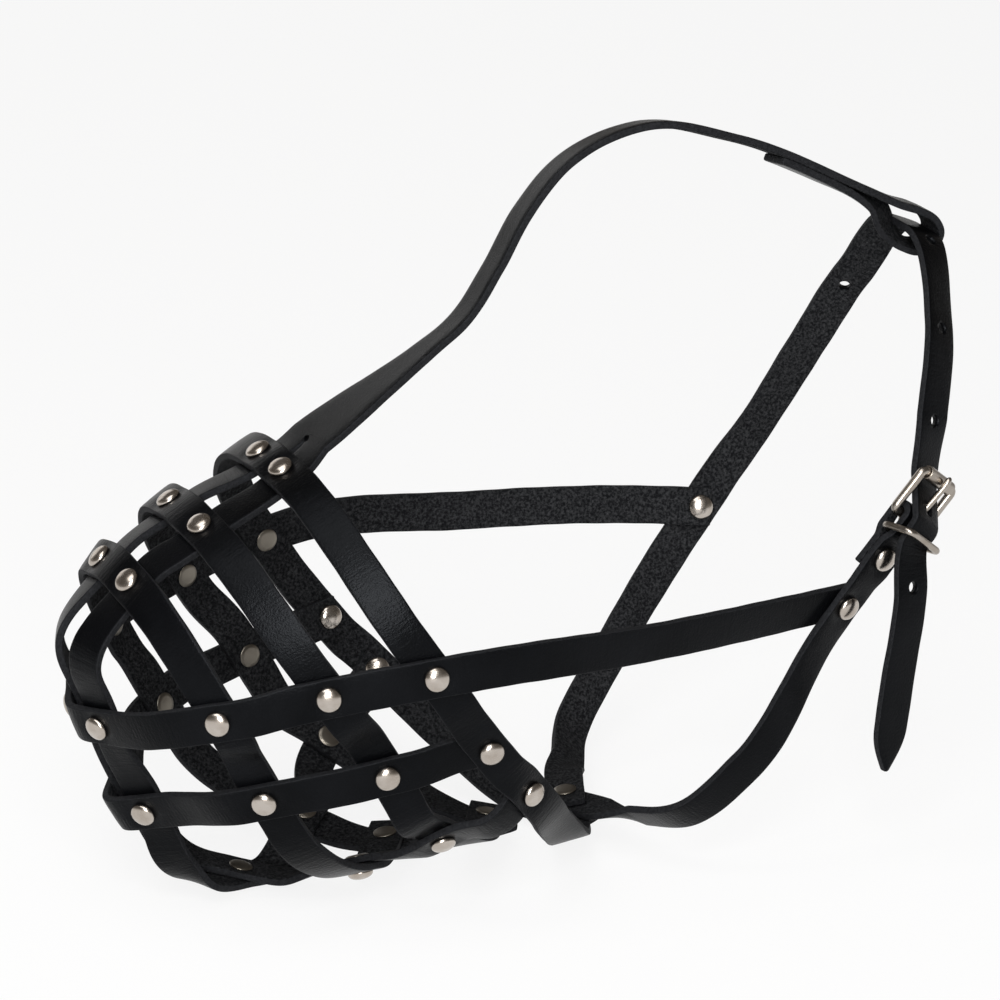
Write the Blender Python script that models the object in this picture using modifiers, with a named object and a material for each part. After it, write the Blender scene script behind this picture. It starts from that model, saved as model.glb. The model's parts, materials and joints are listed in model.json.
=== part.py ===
"""Leather basket muzzle: riveted straps, a roller buckle and a keeper ring.

The nose points along -X, the neck straps lie towards +X, the wearer's left side is -Y and +Z is up.
Lengths are in metres. The model is set down with the middle of its base at the origin.
"""
import math

import bmesh
import bpy
from mathutils import Matrix, Quaternion, Vector

MM = 0.001

# Leather stock
STRAP_WIDTH = 10.5 * MM
LEATHER = 2.2 * MM
SEAT_GAP = 0.3 * MM
FLAT_MARGIN = 0.3 * MM
WELD = 0.003 * MM
END_LAP = 6.8 * MM
HIDDEN_LAP = 4.4 * MM
POINT_LENGTH = 12.0 * MM
POINT_TIP = 1.0 * MM
BLEND_STEP = 10.0 * MM
BLEND_TURN = math.radians(18)
FLAT_SHARE = 0.48
LEAST_SINE = 0.1

# Rivets
RIVET_CAP = 6.8 * MM
RIVET_DOME = 2.1 * MM
RIVET_RIM = 0.5 * MM
INNER_CAP = 6.4 * MM
INNER_DOME = 1.1 * MM
RIVET_SHANK = 2.8 * MM
SHANK_CLEARANCE = 0.15 * MM
RIVET_SIDES = 10
DOME_STEPS = 3
HOLE_SIDES = 8

# Punched holes of the neck strap
PUNCH = 3.2 * MM
PUNCH_PITCH = 25.25 * MM
PUNCH_START = 3.4 * MM
PUNCHES_BELOW = 1
PUNCHES_ABOVE = 5

# Buckle, roller, tongue and keeper ring
BUCKLE_WIRE = 2.5 * MM
BUCKLE_LENGTH = 12.8 * MM
BUCKLE_SIDE_ROOM = 1.0 * MM
BUCKLE_CORNER = 1.3 * MM
RUNNING_CLEARANCE = 0.1 * MM
ROLLER_WALL = 0.6 * MM
ROLLER_END_ROOM = 0.4 * MM
ROLLER_SLACK = 1.2 * MM
TONGUE_WIRE = 1.8 * MM
TONGUE_OVERHANG = 2.6 * MM
TONGUE_DIP = 0.45 * MM
TONGUE_SLOT = 4.6 * MM
TONGUE_HOLE = 4.3 * MM
TONGUE_LIFT = math.radians(10)
BUCKLE_SWING = math.radians(5)
FOLD_LENGTH = 12.5 * MM
FOLD_LAP = 4.5 * MM
FOLD_FLAT = 3.6 * MM
FOLD_STEPS = 8
HOOK_TURN = math.radians(270)
HOOK_STEPS = 10
KEEPER_WIRE = 1.9 * MM
KEEPER_SEAT = 5.0 * MM
KEEPER_BULGE = 1.6 * MM
KEEPER_SIDE_ROOM = 0.9 * MM
KEEPER_FACE_ROOM = 1.0 * MM
KEEPER_TILT = math.radians(16)
WIRE_SIDES = 2
CORNER_STEPS = 3

# Places on the left half of the basket: along, half width, height
HOOPS = {
    "front": {
        "top": (-128.5, 9.5, 86.0),
        "upper": (-116.5, 39.5, 57.0),
        "lower": (-103.5, 37.5, 32.5),
        "bilge": (-69.5, 19.0, 1.5),
        "keel": (-53.5, 0.0, -1.0),
    },
    "middle": {
        "top": (-109.0, 10.5, 98.5),
        "upper": (-91.0, 51.0, 63.5),
        "lower": (-74.0, 48.5, 38.5),
        "bilge": (-54.3, 38.4, 14.2),
        "keel": (-24.0, 0.0, 0.0),
    },
    "rear": {
        "top": (-85.0, 7.5, 109.5),
        "upper": (-64.5, 58.5, 67.5),
        "lower": (-47.5, 54.5, 43.5),
        "bilge": (-34.5, 50.0, 28.0),
        "keel": (0.0, 0.0, 0.0),
    },
}
NOSE_FRONT = (-142.0, 9.5, 67.0)
NOSE_UPPER = (-137.0, 8.5, 48.5)
NOSE_LOWER = (-125.0, 8.0, 22.5)
NOSE_UNDER = (-115.0, 5.4, 5.2)
NOSE_CROSSING = (-96.0, 0.0, -3.5)
HOOP_BENDS = {"middle": (-64.5, 46.0, 22.0), "rear": (-20.5, 37.0, 11.5)}
PRONG_RISE = (-44.5, 47.5, 18.0)
UPPER_SWELL = (-3.0, 57.5, 67.0)
CHEEK = (60.5, 43.5, 63.5)
BILGE_FACE = Vector((0.0, 0.72, -0.7))
UNDER_FACE = Vector((-0.45, 0.68, -0.48))
BASKET_CORE = Vector((-90.0, 0.0, 50.0)) * MM

# Forehead strap in the middle plane: along and height, from the fork back to the loop
FORK = (-74.0, 115.5)
FOREHEAD = ((-62.5, 122.5), (-42.0, 135.0), (-32.0, 142.0), (-22.0, 155.5), (-13.5, 169.5), (-2.0, 181.5),
            (20.0, 189.0), (48.0, 182.5))
FOREHEAD_TAPER = 45.0 * MM
FOREHEAD_LEAN = math.radians(12)
LOOP = ((87.0, 163.8), (96.5, 159.0), (102.5, 156.6), (107.2, 153.4), (108.5, 150.0), (106.5, 146.6),
        (101.7, 145.7), (97.3, 148.0), (93.5, 151.0), (90.0, 155.6))
LOOP_LAP_END = 55.5 * MM

# Free stretches of the straps round the neck
NECK_MIDDLE = Vector((51.0, 0.0, 75.0)) * MM
NECK_AXIS = Vector((0.82, 0.0, -0.57))
THROAT = ((10.5, 22.5, 3.4), (18.0, 36.0, 7.5), (32.0, 44.0, 22.0))
NAPE = ((79.0, 45.0, 85.5), (90.0, 36.5, 110.0), (97.5, 25.0, 132.0))
NECK_TOP = (100.5, 0.0, 151.5)
NECK_TOP_FACE = Vector((0.37, 0.0, 0.93))
HEEL = (79.0, -45.0, 85.5)
BUCKLE_FACE = Vector((0.22, -0.96, -0.19))
TAIL = ((75.0, -54.5, 67.0), (70.5, -56.5, 44.0))
TAIL_TIP = (67.0, -57.0, 20.0)

LAYER = LEATHER + SEAT_GAP
STACK_MOST = 4
HALF_WIDTH = STRAP_WIDTH / 2
SIDES = {"left": -1.0, "right": 1.0}


def clear_scene():
    for item in list(bpy.data.objects):
        bpy.data.objects.remove(item, do_unlink=True)


def new_collection(name):
    collection = bpy.data.collections.new(name)
    bpy.context.scene.collection.children.link(collection)
    return collection


def new_material(name, colour, roughness, metallic):
    material = bpy.data.materials.new(name)
    material.use_nodes = True
    shader = material.node_tree.nodes["Principled BSDF"]
    shader.inputs["Base Color"].default_value = (*colour, 1.0)
    shader.inputs["Roughness"].default_value = roughness
    shader.inputs["Metallic"].default_value = metallic
    return material


def add_object(name, mesh, collection, material=None, matrix=None):
    item = bpy.data.objects.new(name, mesh)
    collection.objects.link(item)
    if material is not None:
        mesh.materials.clear()
        mesh.materials.append(material)
    if matrix is not None:
        item.matrix_world = matrix
    return item


def spot(place, side=0.0):
    """A place in metres; a side of -1 or 1 puts its half width on that side."""
    x, y, z = place
    return Vector((x, y * side if side else y, z)) * MM


# Places and routes

def basket_places():
    """Every rivet place of the basket, named for its hoop, its level and its side."""
    places = {}
    for hoop, levels in HOOPS.items():
        for level, place in levels.items():
            if level == "keel":
                places[f"{hoop}_keel"] = spot(place)
                continue
            for side, sign in SIDES.items():
                places[f"{hoop}_{level}_{side}"] = spot(place, sign)
    for side, sign in SIDES.items():
        places[f"nose_upper_{side}"] = spot(NOSE_UPPER, sign)
        places[f"nose_lower_{side}"] = spot(NOSE_LOWER, sign)
        places[f"cheek_{side}"] = spot(CHEEK, sign)
    places["nose_crossing"] = spot(NOSE_CROSSING)
    return places


class Knot:
    """One control point of a strap's route.

    A knot with a name lies on a rivet place, at a layer counted outwards from the middle of the stack.
    """

    def __init__(self, position, name=None, layer=0.0, normal=None, tangent=None):
        self.position = position
        self.name = name
        self.layer = layer
        self.normal = normal
        self.tangent = tangent
        self.facing = 1.0
        self.flat = 0.0


def pinned(places, name, layer):
    return Knot(places[name].copy(), name, layer)


def free(place, side=0.0):
    return Knot(spot(place, side))


def hoop_route(places, hoop, bilge_layer, lower_layer, keel_layers):
    """From the left end under the jaw, over the nose and back down to the right end."""
    layers = {"bilge": bilge_layer, "lower": lower_layer, "upper": -0.5, "top": 0.5}
    left = [pinned(places, f"{hoop}_{level}_left", layer) for level, layer in layers.items()]
    right = [pinned(places, f"{hoop}_{level}_right", layer) for level, layer in layers.items()]
    if hoop in HOOP_BENDS:
        turn = 0 if hoop == "rear" else 1
        left.insert(turn, free(HOOP_BENDS[hoop], SIDES["left"]))
        right.insert(turn, free(HOOP_BENDS[hoop], SIDES["right"]))
    start = pinned(places, f"{hoop}_keel", keel_layers[0])
    end = pinned(places, f"{hoop}_keel", keel_layers[1])
    return [start] + left + right[::-1] + [end]


def side_route(places, level, end_name, end_layer, hoops):
    """A strap round the nose, from its right end to its left end."""
    left = [pinned(places, f"{hoop}_{level}_left", 0.5) for hoop in hoops]
    right = [pinned(places, f"{hoop}_{level}_right", 0.5) for hoop in hoops]
    nose_right = pinned(places, f"nose_{level}_right", 0.5)
    nose_left = pinned(places, f"nose_{level}_left", 0.5)
    start = pinned(places, f"{end_name}_right", end_layer)
    end = pinned(places, f"{end_name}_left", end_layer)
    if level == "upper":
        left.append(free(UPPER_SWELL, SIDES["left"]))
        right.append(free(UPPER_SWELL, SIDES["right"]))
    return [start] + right[::-1] + [nose_right, nose_left] + left + [end]


def nose_route(places, side, crossing_layer):
    """One prong of the forehead strap: over the nose, across its fellow and back under the jaw."""
    sign = SIDES[side]
    other = "right" if side == "left" else "left"
    fork = Knot(Vector((FORK[0] * MM, sign * HALF_WIDTH, FORK[1] * MM)))
    knots = [fork]
    knots += [pinned(places, f"{hoop}_top_{side}", -0.5) for hoop in ("rear", "middle", "front")]
    knots += [free(NOSE_FRONT, sign), pinned(places, f"nose_upper_{side}", -0.5)]
    under = free(NOSE_UNDER, sign)
    under.position += (under.position - BASKET_CORE).normalized() * crossing_layer * LAYER
    under.normal = Vector((UNDER_FACE.x, UNDER_FACE.y * sign, UNDER_FACE.z)).normalized()
    knots += [pinned(places, f"nose_lower_{side}", -0.5), under]
    knots.append(pinned(places, "nose_crossing", crossing_layer))
    knots.append(pinned(places, f"front_bilge_{other}", -0.5))
    knots.append(pinned(places, f"middle_bilge_{other}", 0.5))
    knots.append(free(PRONG_RISE, -sign))
    knots.append(pinned(places, f"rear_bilge_{other}", -0.5))
    return knots


def around_neck(place, side):
    """A free knot of a strap round the neck, facing away from the neck's axis."""
    knot = free(place, side)
    away = knot.position - NECK_MIDDLE
    knot.normal = away - NECK_AXIS * away.dot(NECK_AXIS)
    return knot


def buckle_frame_axes():
    """Length, width and outward directions of the buckle; its length carries on from the cheek."""
    along = (spot(HEEL) - spot(CHEEK, SIDES["left"])).normalized()
    outward = BUCKLE_FACE - along * BUCKLE_FACE.dot(along)
    outward.normalize()
    return along, outward.cross(along), outward


def fold_radius():
    return BUCKLE_WIRE / 2 + SEAT_GAP + LEATHER / 2


def buckle_route(places):
    """From the folded-back end, round the heel bar, down past the cheek to the throat."""
    along, _, outward = buckle_frame_axes()
    heel = spot(HEEL)
    radius = fold_radius()
    rivet = heel - along * FOLD_LENGTH
    inner = Knot(rivet, "fold", -0.5)
    outer = Knot(rivet, "fold", 0.5)
    inner.facing = -1.0
    inner.tangent = along
    outer.tangent = -along
    inner.flat = FOLD_FLAT
    outer.flat = FOLD_FLAT
    turn = []
    for step in range(FOLD_STEPS + 1):
        angle = math.pi * (step / FOLD_STEPS - 0.5)
        knot = Knot(heel + (along * math.cos(angle) + outward * math.sin(angle)) * radius)
        knot.tangent = outward * math.cos(angle) - along * math.sin(angle)
        turn.append(knot)
    legs = []
    for sign in (-1.0, 1.0):
        leg = Knot(heel + outward * (sign * radius) - along * KEEPER_SEAT)
        leg.tangent = along * -sign
        legs.append(leg)
    cheek = pinned(places, "cheek_left", 0.5)
    throat = [around_neck(place, SIDES["left"]) for place in THROAT[::-1]]
    fold = [inner, legs[0]] + turn + [legs[1], outer]
    return fold + [cheek] + throat + [pinned(places, "rear_keel", -0.5)]


def strap_crossing():
    """The straight stretch of the neck strap, inside the roller and then outside the heel."""
    along, _, outward = buckle_frame_axes()
    at_roller = roller_radius() + ROLLER_SLACK + LEATHER / 2
    at_heel = fold_radius() + LEATHER + SEAT_GAP
    slope = math.asin((at_roller + at_heel) / BUCKLE_LENGTH)
    face = outward * math.cos(slope) + along * math.sin(slope)
    heel = spot(HEEL)
    return heel + along * BUCKLE_LENGTH - face * at_roller, heel + face * at_heel, face


def keeper_crossing():
    """Where the neck strap runs through the keeper ring, bulging a little off the fold."""
    along, _, outward = buckle_frame_axes()
    rise = fold_radius() + LEATHER + SEAT_GAP + KEEPER_BULGE
    return spot(HEEL) - along * KEEPER_SEAT + outward * rise


def neck_route(places):
    """From the throat up the right side, through the loop, down through the buckle to the point."""
    top_of_buckle, foot_of_buckle, face = strap_crossing()
    down = (foot_of_buckle - top_of_buckle).normalized()
    knots = [pinned(places, "rear_keel", -1.5)]
    knots += [around_neck(place, SIDES["right"]) for place in THROAT]
    knots.append(pinned(places, "cheek_right", 0.5))
    knots += [around_neck(place, SIDES["right"]) for place in NAPE]
    crown = Knot(spot(NECK_TOP), normal=NECK_TOP_FACE)
    crown.flat = HALF_WIDTH + FLAT_MARGIN
    knots.append(crown)
    knots += [around_neck(place, SIDES["left"]) for place in NAPE[:0:-1]]
    knots.append(Knot(top_of_buckle, normal=face, tangent=down))
    foot = Knot(foot_of_buckle, normal=face, tangent=down)
    foot.flat = BUCKLE_WIRE
    knots.append(foot)
    _, _, outward = buckle_frame_axes()
    knots.append(Knot(keeper_crossing(), normal=outward))
    knots += [free(place) for place in TAIL]
    tip = spot(TAIL_TIP)
    shoulder = tip + (spot(TAIL[-1]) - tip).normalized() * POINT_LENGTH
    knots += [Knot(shoulder), Knot(tip)]
    return knots


# Route geometry

def knot_tangents(knots):
    """Tangent at each knot: the chords on both sides, the shorter one counting more."""
    points = [knot.position for knot in knots]
    chords = [b - a for a, b in zip(points, points[1:])]
    inner = []
    for before, after in zip(chords, chords[1:]):
        blend = before.normalized() * after.length + after.normalized() * before.length
        inner.append(blend.normalized())
    first = (chords[0].normalized() * 2 - inner[0]).normalized()
    last = (chords[-1].normalized() * 2 - inner[-1]).normalized()
    tangents = [first] + inner + [last]
    return [knot.tangent or tangent for knot, tangent in zip(knots, tangents)]


def place_normals(routes, places):
    """Outward normal at each rivet place, square to the straps that cross there."""
    visits = {name: [] for name in places}
    for knots in routes.values():
        for knot, tangent in zip(knots, knot_tangents(knots)):
            if knot.name:
                visits[knot.name].append(tangent)
    normals = {}
    for name, tangents in visits.items():
        best = Vector((0.0, 0.0, 0.0))
        for i, one in enumerate(tangents):
            for other in tangents[i + 1:]:
                cross = one.cross(other)
                best = cross if cross.length > best.length else best
        outward = places[name] - BASKET_CORE
        normals[name] = (best if best.dot(outward) > 0 else -best).normalized()
    return normals, visits


def flat_length(tangent, fellows):
    """Half length that lies flat, so that the straps crossing there meet face to face."""
    longest = HALF_WIDTH
    for fellow in fellows:
        sine = tangent.cross(fellow).length
        cosine = abs(tangent.dot(fellow))
        if sine > LEAST_SINE:
            reach = HALF_WIDTH * (1 + cosine) / sine
            longest = max(longest, min(reach, END_LAP + HALF_WIDTH))
    return longest + FLAT_MARGIN


def settle(knots, normals, visits):
    """Lift each pinned knot to its layer and lay it flat there."""
    tangents = knot_tangents(knots)
    for knot, tangent in zip(knots, tangents):
        if not knot.name:
            continue
        normal = normals[knot.name]
        knot.normal = normal * knot.facing
        knot.tangent = (tangent - normal * tangent.dot(normal)).normalized()
        knot.flat = knot.flat or flat_length(knot.tangent, visits[knot.name])
        knot.position = knot.position + normal * knot.layer * LAYER
    for knot, tangent in zip(knots, knot_tangents(knots)):
        knot.tangent = tangent


def blend_points(start, start_way, end, end_way):
    """Points of a smooth blend between two stretches, both ends left out."""
    reach = (end - start).length
    turn = start_way.angle(end_way, 0.0)
    count = max(2, math.ceil(reach / BLEND_STEP), math.ceil(turn / BLEND_TURN))
    points = []
    for step in range(1, count):
        t = step / count
        h00 = 2 * t**3 - 3 * t**2 + 1
        h10 = t**3 - 2 * t**2 + t
        h01 = 3 * t**2 - 2 * t**3
        h11 = t**3 - t**2
        points.append(start * h00 + start_way * (h10 * reach) + end * h01 + end_way * (h11 * reach))
    return points


def lay_route(knots, lap_start=0.0, lap_end=0.0):
    """Points, fixed normals by point number and the point number of each knot."""
    points = []
    fixed = {}
    index = []
    spans = [(b.position - a.position).length for a, b in zip(knots, knots[1:])]
    for i, knot in enumerate(knots):
        room = [FLAT_SHARE * span for span in spans[max(0, i - 1):i + 1]]
        before = min(knot.flat, *room) if i else lap_start
        after = min(knot.flat, *room) if i < len(knots) - 1 else lap_end
        entry = knot.position - knot.tangent * before
        if i:
            points += blend_points(points[-1], knots[i - 1].tangent, entry, knot.tangent)
        first = len(points)
        if before > 0:
            points.append(entry)
        index.append(len(points))
        points.append(knot.position.copy())
        if after > 0:
            points.append(knot.position + knot.tangent * after)
        if knot.normal is not None:
            for number in range(first, len(points)):
                fixed[number] = knot.normal
    return points, fixed, index


def point_tangents(points):
    ways = [(b - a).normalized() for a, b in zip(points, points[1:])]
    middle = [(a + b).normalized() for a, b in zip(ways, ways[1:])]
    return [ways[0]] + middle + [ways[-1]]


def point_normals(points, tangents, fixed):
    """Normals carried along without twist, with the twist left over shared between fixed ones."""
    marks = sorted(fixed)
    normals = [None] * len(points)
    for number in marks:
        way = tangents[number]
        normals[number] = (fixed[number] - way * fixed[number].dot(way)).normalized()
    for number in range(marks[0] - 1, -1, -1):
        normals[number] = tangents[number + 1].rotation_difference(tangents[number]) @ normals[number + 1]
    for start, end in zip(marks, marks[1:] + [len(points)]):
        carried = [normals[start]]
        reach = [0.0]
        for number in range(start + 1, min(end + 1, len(points))):
            turn = tangents[number - 1].rotation_difference(tangents[number])
            carried.append(turn @ carried[-1])
            reach.append(reach[-1] + (points[number] - points[number - 1]).length)
        twist = 0.0
        if end < len(points):
            side = tangents[end].cross(carried[-1])
            twist = math.atan2(normals[end].dot(side), normals[end].dot(carried[-1]))
        for step, normal in enumerate(carried):
            share = reach[step] / reach[-1] if reach[-1] else 0.0
            turn = Quaternion(tangents[start + step], twist * share)
            normals[start + step] = turn @ normal
    return normals


class Ribbon:
    """A strap's middle surface: points, tangents and outward normals along it."""

    def __init__(self, knots, lap_start=0.0, lap_end=0.0):
        self.points, fixed, self.index = lay_route(knots, lap_start, lap_end)
        self.tangents = point_tangents(self.points)
        self.normals = point_normals(self.points, self.tangents, fixed)
        self.reach = [0.0]
        for a, b in zip(self.points, self.points[1:]):
            self.reach.append(self.reach[-1] + (b - a).length)

    def edges(self, number, half):
        across = self.normals[number].cross(self.tangents[number]).normalized() * half
        return self.points[number] + across, self.points[number] - across

    def at(self, distance):
        """Point and outward normal at a distance along the strap."""
        number = max(i for i, reach in enumerate(self.reach[:-1]) if reach <= distance)
        share = (distance - self.reach[number]) / (self.reach[number + 1] - self.reach[number])
        point = self.points[number].lerp(self.points[number + 1], share)
        return point, self.normals[number].lerp(self.normals[number + 1], share).normalized()


# Leather pieces

def sheet_mesh(name, rows, links):
    """An open sheet: rows of points, and faces between the linked pairs of rows."""
    work = bmesh.new()
    grid = [[work.verts.new(point) for point in row] for row in rows]
    for first, second in links:
        for i in range(min(len(grid[first]), len(grid[second])) - 1):
            corners = (grid[first][i], grid[first][i + 1], grid[second][i + 1], grid[second][i])
            work.faces.new(corners)
    bmesh.ops.remove_doubles(work, verts=work.verts, dist=WELD)
    mesh = bpy.data.meshes.new(name)
    work.to_mesh(mesh)
    work.free()
    return mesh


def thicken(item):
    solid = item.modifiers.new("leather", "SOLIDIFY")
    solid.thickness = LEATHER
    solid.offset = 0.0
    solid.use_even_offset = True


def strap(name, ribbon, halves, parts, leather):
    rows = [ribbon.edges(number, half) for number, half in enumerate(halves)]
    links = [(i, i + 1) for i in range(len(rows) - 1)]
    item = add_object(name, sheet_mesh(name, rows, links), parts, leather)
    thicken(item)
    return item


def plain_strap(name, ribbon, parts, leather):
    return strap(name, ribbon, [HALF_WIDTH] * len(ribbon.points), parts, leather)


def pointed_strap(name, ribbon, parts, leather):
    """A strap whose far end narrows to a point."""
    total = ribbon.reach[-1]
    halves = []
    for reach in ribbon.reach:
        share = min(1.0, (total - reach) / POINT_LENGTH)
        halves.append(POINT_TIP / 2 + (HALF_WIDTH - POINT_TIP / 2) * share)
    return strap(name, ribbon, halves, parts, leather)


def forehead_ribbon():
    """The forehead strap from its folded-back end, round the loop and forward to the fork."""
    plane = [Knot(Vector((x, 0.0, z)) * MM) for x, z in LOOP[::-1]]
    crown = [Knot(Vector((x, 0.0, z)) * MM) for x, z in FOREHEAD[::-1]]
    fork = Knot(Vector((FORK[0], 0.0, FORK[1])) * MM)
    upper = plane[-1].position
    over = (upper - crown[0].position).normalized()
    below = Vector((over.z, 0.0, -over.x)) * -LAYER
    below = below if below.z < 0 else -below
    lap = Knot(upper + below)
    lap_length = (upper.x - LOOP_LAP_END) / over.x
    end = Knot(upper + below - over * lap_length)
    lap.tangent = over
    end.tangent = over
    knots = [end, lap] + plane + crown + [fork]
    for knot, tangent in zip(knots, knot_tangents(knots)):
        knot.tangent = tangent
    down = Vector((over.z, 0.0, -over.x))
    knots[0].normal = down if down.z < 0 else -down
    ribbon = Ribbon(knots)
    far = max(point.x for point in ribbon.points)
    for number, (point, way) in enumerate(zip(ribbon.points, ribbon.tangents)):
        share = math.sin(math.pi * (far - point.x) / (far - fork.position.x))
        lean = Quaternion(way, -FOREHEAD_LEAN * share * way.x)
        ribbon.normals[number] = lean @ ribbon.normals[number]
    return ribbon


def forked_strap(name, forehead, prongs, parts, leather):
    """The forehead strap widens towards its fork and goes on as two prongs."""
    total = forehead.reach[-1]
    rows = []
    links = []
    for number, reach in enumerate(forehead.reach):
        share = max(0.0, 1 - (total - reach) / FOREHEAD_TAPER)
        half = HALF_WIDTH * (1 + share * share * (3 - 2 * share))
        left, right = forehead.edges(number, half)
        rows.append((left, forehead.points[number], right))
    links += [(i, i + 1) for i in range(len(rows) - 1)]
    fork_left, fork_middle, fork_right = rows[-1]
    for prong in prongs:
        on_left = (prong.points[0] - fork_left).length < (prong.points[0] - fork_right).length
        root = (fork_left, fork_middle) if on_left else (fork_middle, fork_right)
        start = len(rows)
        rows.append(root)
        rows += [prong.edges(number, HALF_WIDTH) for number in range(1, len(prong.points))]
        links += [(i, i + 1) for i in range(start, len(rows) - 1)]
    item = add_object(name, sheet_mesh(name, rows, links), parts, leather)
    thicken(item)
    return item


# Holes

def hole_cutter(name, holes, cutters):
    """Round cutters, each given by its middle, its direction, its diameter and its length."""
    work = bmesh.new()
    for middle, way, diameter, length in holes:
        turn = Vector((0.0, 0.0, 1.0)).rotation_difference(way).to_matrix().to_4x4()
        bmesh.ops.create_cone(
            work, cap_ends=True, segments=HOLE_SIDES, radius1=diameter / 2, radius2=diameter / 2,
            depth=length, matrix=Matrix.Translation(middle) @ turn)
    mesh = bpy.data.meshes.new(name)
    work.to_mesh(mesh)
    work.free()
    item = add_object(name, mesh, cutters)
    item.hide_render = True
    item.display_type = "WIRE"
    return item


def cut(item, cutter):
    change = item.modifiers.new(cutter.name, "BOOLEAN")
    change.operation = "DIFFERENCE"
    change.solver = "EXACT"
    change.object = cutter


def rivet_holes(knots, places, normals):
    """One hole through the whole stack at each rivet place on the strap's route."""
    diameter = RIVET_SHANK + 2 * SHANK_CLEARANCE
    names = sorted({knot.name for knot in knots if knot.name})
    return [(places[name], normals[name], diameter, 2 * STACK_MOST * LAYER) for name in names]


def punched_holes(ribbon, tongue_reach):
    """The row of holes that the tongue can take, at an even pitch from the one in use."""
    holes = []
    for count in range(-PUNCHES_ABOVE, PUNCHES_BELOW + 1):
        if count:
            start = PUNCH_START if count < 0 else 0.0
            point, normal = ribbon.at(tongue_reach + start + count * PUNCH_PITCH)
            holes.append((point, normal, PUNCH, 2 * LEATHER))
    return holes


# Rivets

def rivet_mesh(name, layers):
    """Half profile from the crown of the dome, down the shank to the inner cap."""
    seat = (layers * LEATHER + (layers - 1) * SEAT_GAP) / 2 + SEAT_GAP
    shank = RIVET_SHANK / 2
    profile = []
    for step in range(DOME_STEPS + 1):
        angle = math.pi / 2 * step / DOME_STEPS
        height = seat + RIVET_RIM + (RIVET_DOME - RIVET_RIM) * math.cos(angle)
        profile.append((RIVET_CAP / 2 * math.sin(angle), height))
    profile += [(RIVET_CAP / 2, seat), (shank, seat), (shank, -seat), (INNER_CAP / 2, -seat)]
    profile += [(INNER_CAP / 2, -seat - RIVET_RIM), (INNER_CAP / 4, -seat - INNER_DOME)]
    profile.append((0.0, -seat - INNER_DOME))
    mesh = bpy.data.meshes.new(name)
    points = [(radius, 0.0, height) for radius, height in profile]
    mesh.from_pydata(points, [(i, i + 1) for i in range(len(points) - 1)], [])
    return mesh


def turn_profile(item, steps):
    screw = item.modifiers.new("turn", "SCREW")
    screw.steps = steps
    screw.render_steps = steps
    screw.use_merge_vertices = True
    screw.merge_threshold = WELD
    screw.use_smooth_shade = True


def rivet(name, mesh, middle, normal, parts, metal):
    turn = Vector((0.0, 0.0, 1.0)).rotation_difference(normal).to_matrix().to_4x4()
    item = add_object(name, mesh, parts, metal, Matrix.Translation(middle) @ turn)
    turn_profile(item, RIVET_SIDES)


# Buckle and keeper

def roller_radius():
    return BUCKLE_WIRE / 2 + RUNNING_CLEARANCE + ROLLER_WALL


def buckle_half_width():
    """From the middle of the buckle to the middle of a side bar."""
    return HALF_WIDTH + BUCKLE_SIDE_ROOM + BUCKLE_WIRE / 2


def buckle_matrix(shift=0.0):
    """Local X along the buckle, Y across it and Z outwards, at the heel bar or further along."""
    along, width, outward = buckle_frame_axes()
    turn = Matrix((along, width, outward)).transposed().to_4x4()
    return Matrix.Translation(spot(HEEL) + along * shift) @ turn


def wire(name, points, diameter, closed, collection, material, matrix):
    """A bent wire as a round tube along its points."""
    curve = bpy.data.curves.new(name, "CURVE")
    curve.dimensions = "3D"
    curve.bevel_depth = diameter / 2
    curve.bevel_resolution = WIRE_SIDES
    curve.use_fill_caps = True
    spline = curve.splines.new("POLY")
    spline.points.add(len(points) - 1)
    for target, point in zip(spline.points, points):
        target.co = (*point, 1.0)
    spline.use_cyclic_u = closed
    curve.materials.append(material)
    item = bpy.data.objects.new(name, curve)
    collection.objects.link(item)
    item.matrix_world = matrix
    return item


def rounded_loop(low, high, half, corner):
    """A rectangle with round corners, from low to high along the first axis."""
    centres = ((high - corner, half - corner), (low + corner, half - corner),
               (low + corner, corner - half), (high - corner, corner - half))
    points = []
    for quarter, (x, y) in enumerate(centres):
        for step in range(CORNER_STEPS + 1):
            angle = math.pi / 2 * (quarter + step / CORNER_STEPS)
            points.append((x + corner * math.cos(angle), y + corner * math.sin(angle)))
    return points


def buckle_frame(parts, metal):
    points = rounded_loop(0.0, BUCKLE_LENGTH, buckle_half_width(), BUCKLE_CORNER)
    loop = [Vector((x, y, 0.0)) for x, y in points]
    wire("buckle_frame", loop, BUCKLE_WIRE, True, parts, metal, buckle_matrix())


def roller(parts, metal):
    """A rolled sheet tube that turns on the buckle's end bar."""
    half = buckle_half_width() - BUCKLE_CORNER - ROLLER_END_ROOM
    bore = BUCKLE_WIRE / 2 + RUNNING_CLEARANCE
    skin = roller_radius()
    points = [(skin, 0.0, half), (skin, 0.0, -half), (bore, 0.0, -half), (bore, 0.0, half)]
    mesh = bpy.data.meshes.new("roller")
    mesh.from_pydata(points, [(0, 1), (1, 2), (2, 3), (3, 0)], [])
    turn = Matrix.Rotation(-math.pi / 2, 4, "X")
    item = add_object("roller", mesh, parts, metal, buckle_matrix(BUCKLE_LENGTH) @ turn)
    turn_profile(item, 2 * RIVET_SIDES)


def tongue_rise():
    """Heights of the tongue's middle line over the heel bar and over the roller."""
    heel_rise = BUCKLE_WIRE / 2 + RUNNING_CLEARANCE + TONGUE_WIRE / 2
    roller_rise = roller_radius() + SEAT_GAP + TONGUE_WIRE / 2
    return heel_rise, roller_rise


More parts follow.
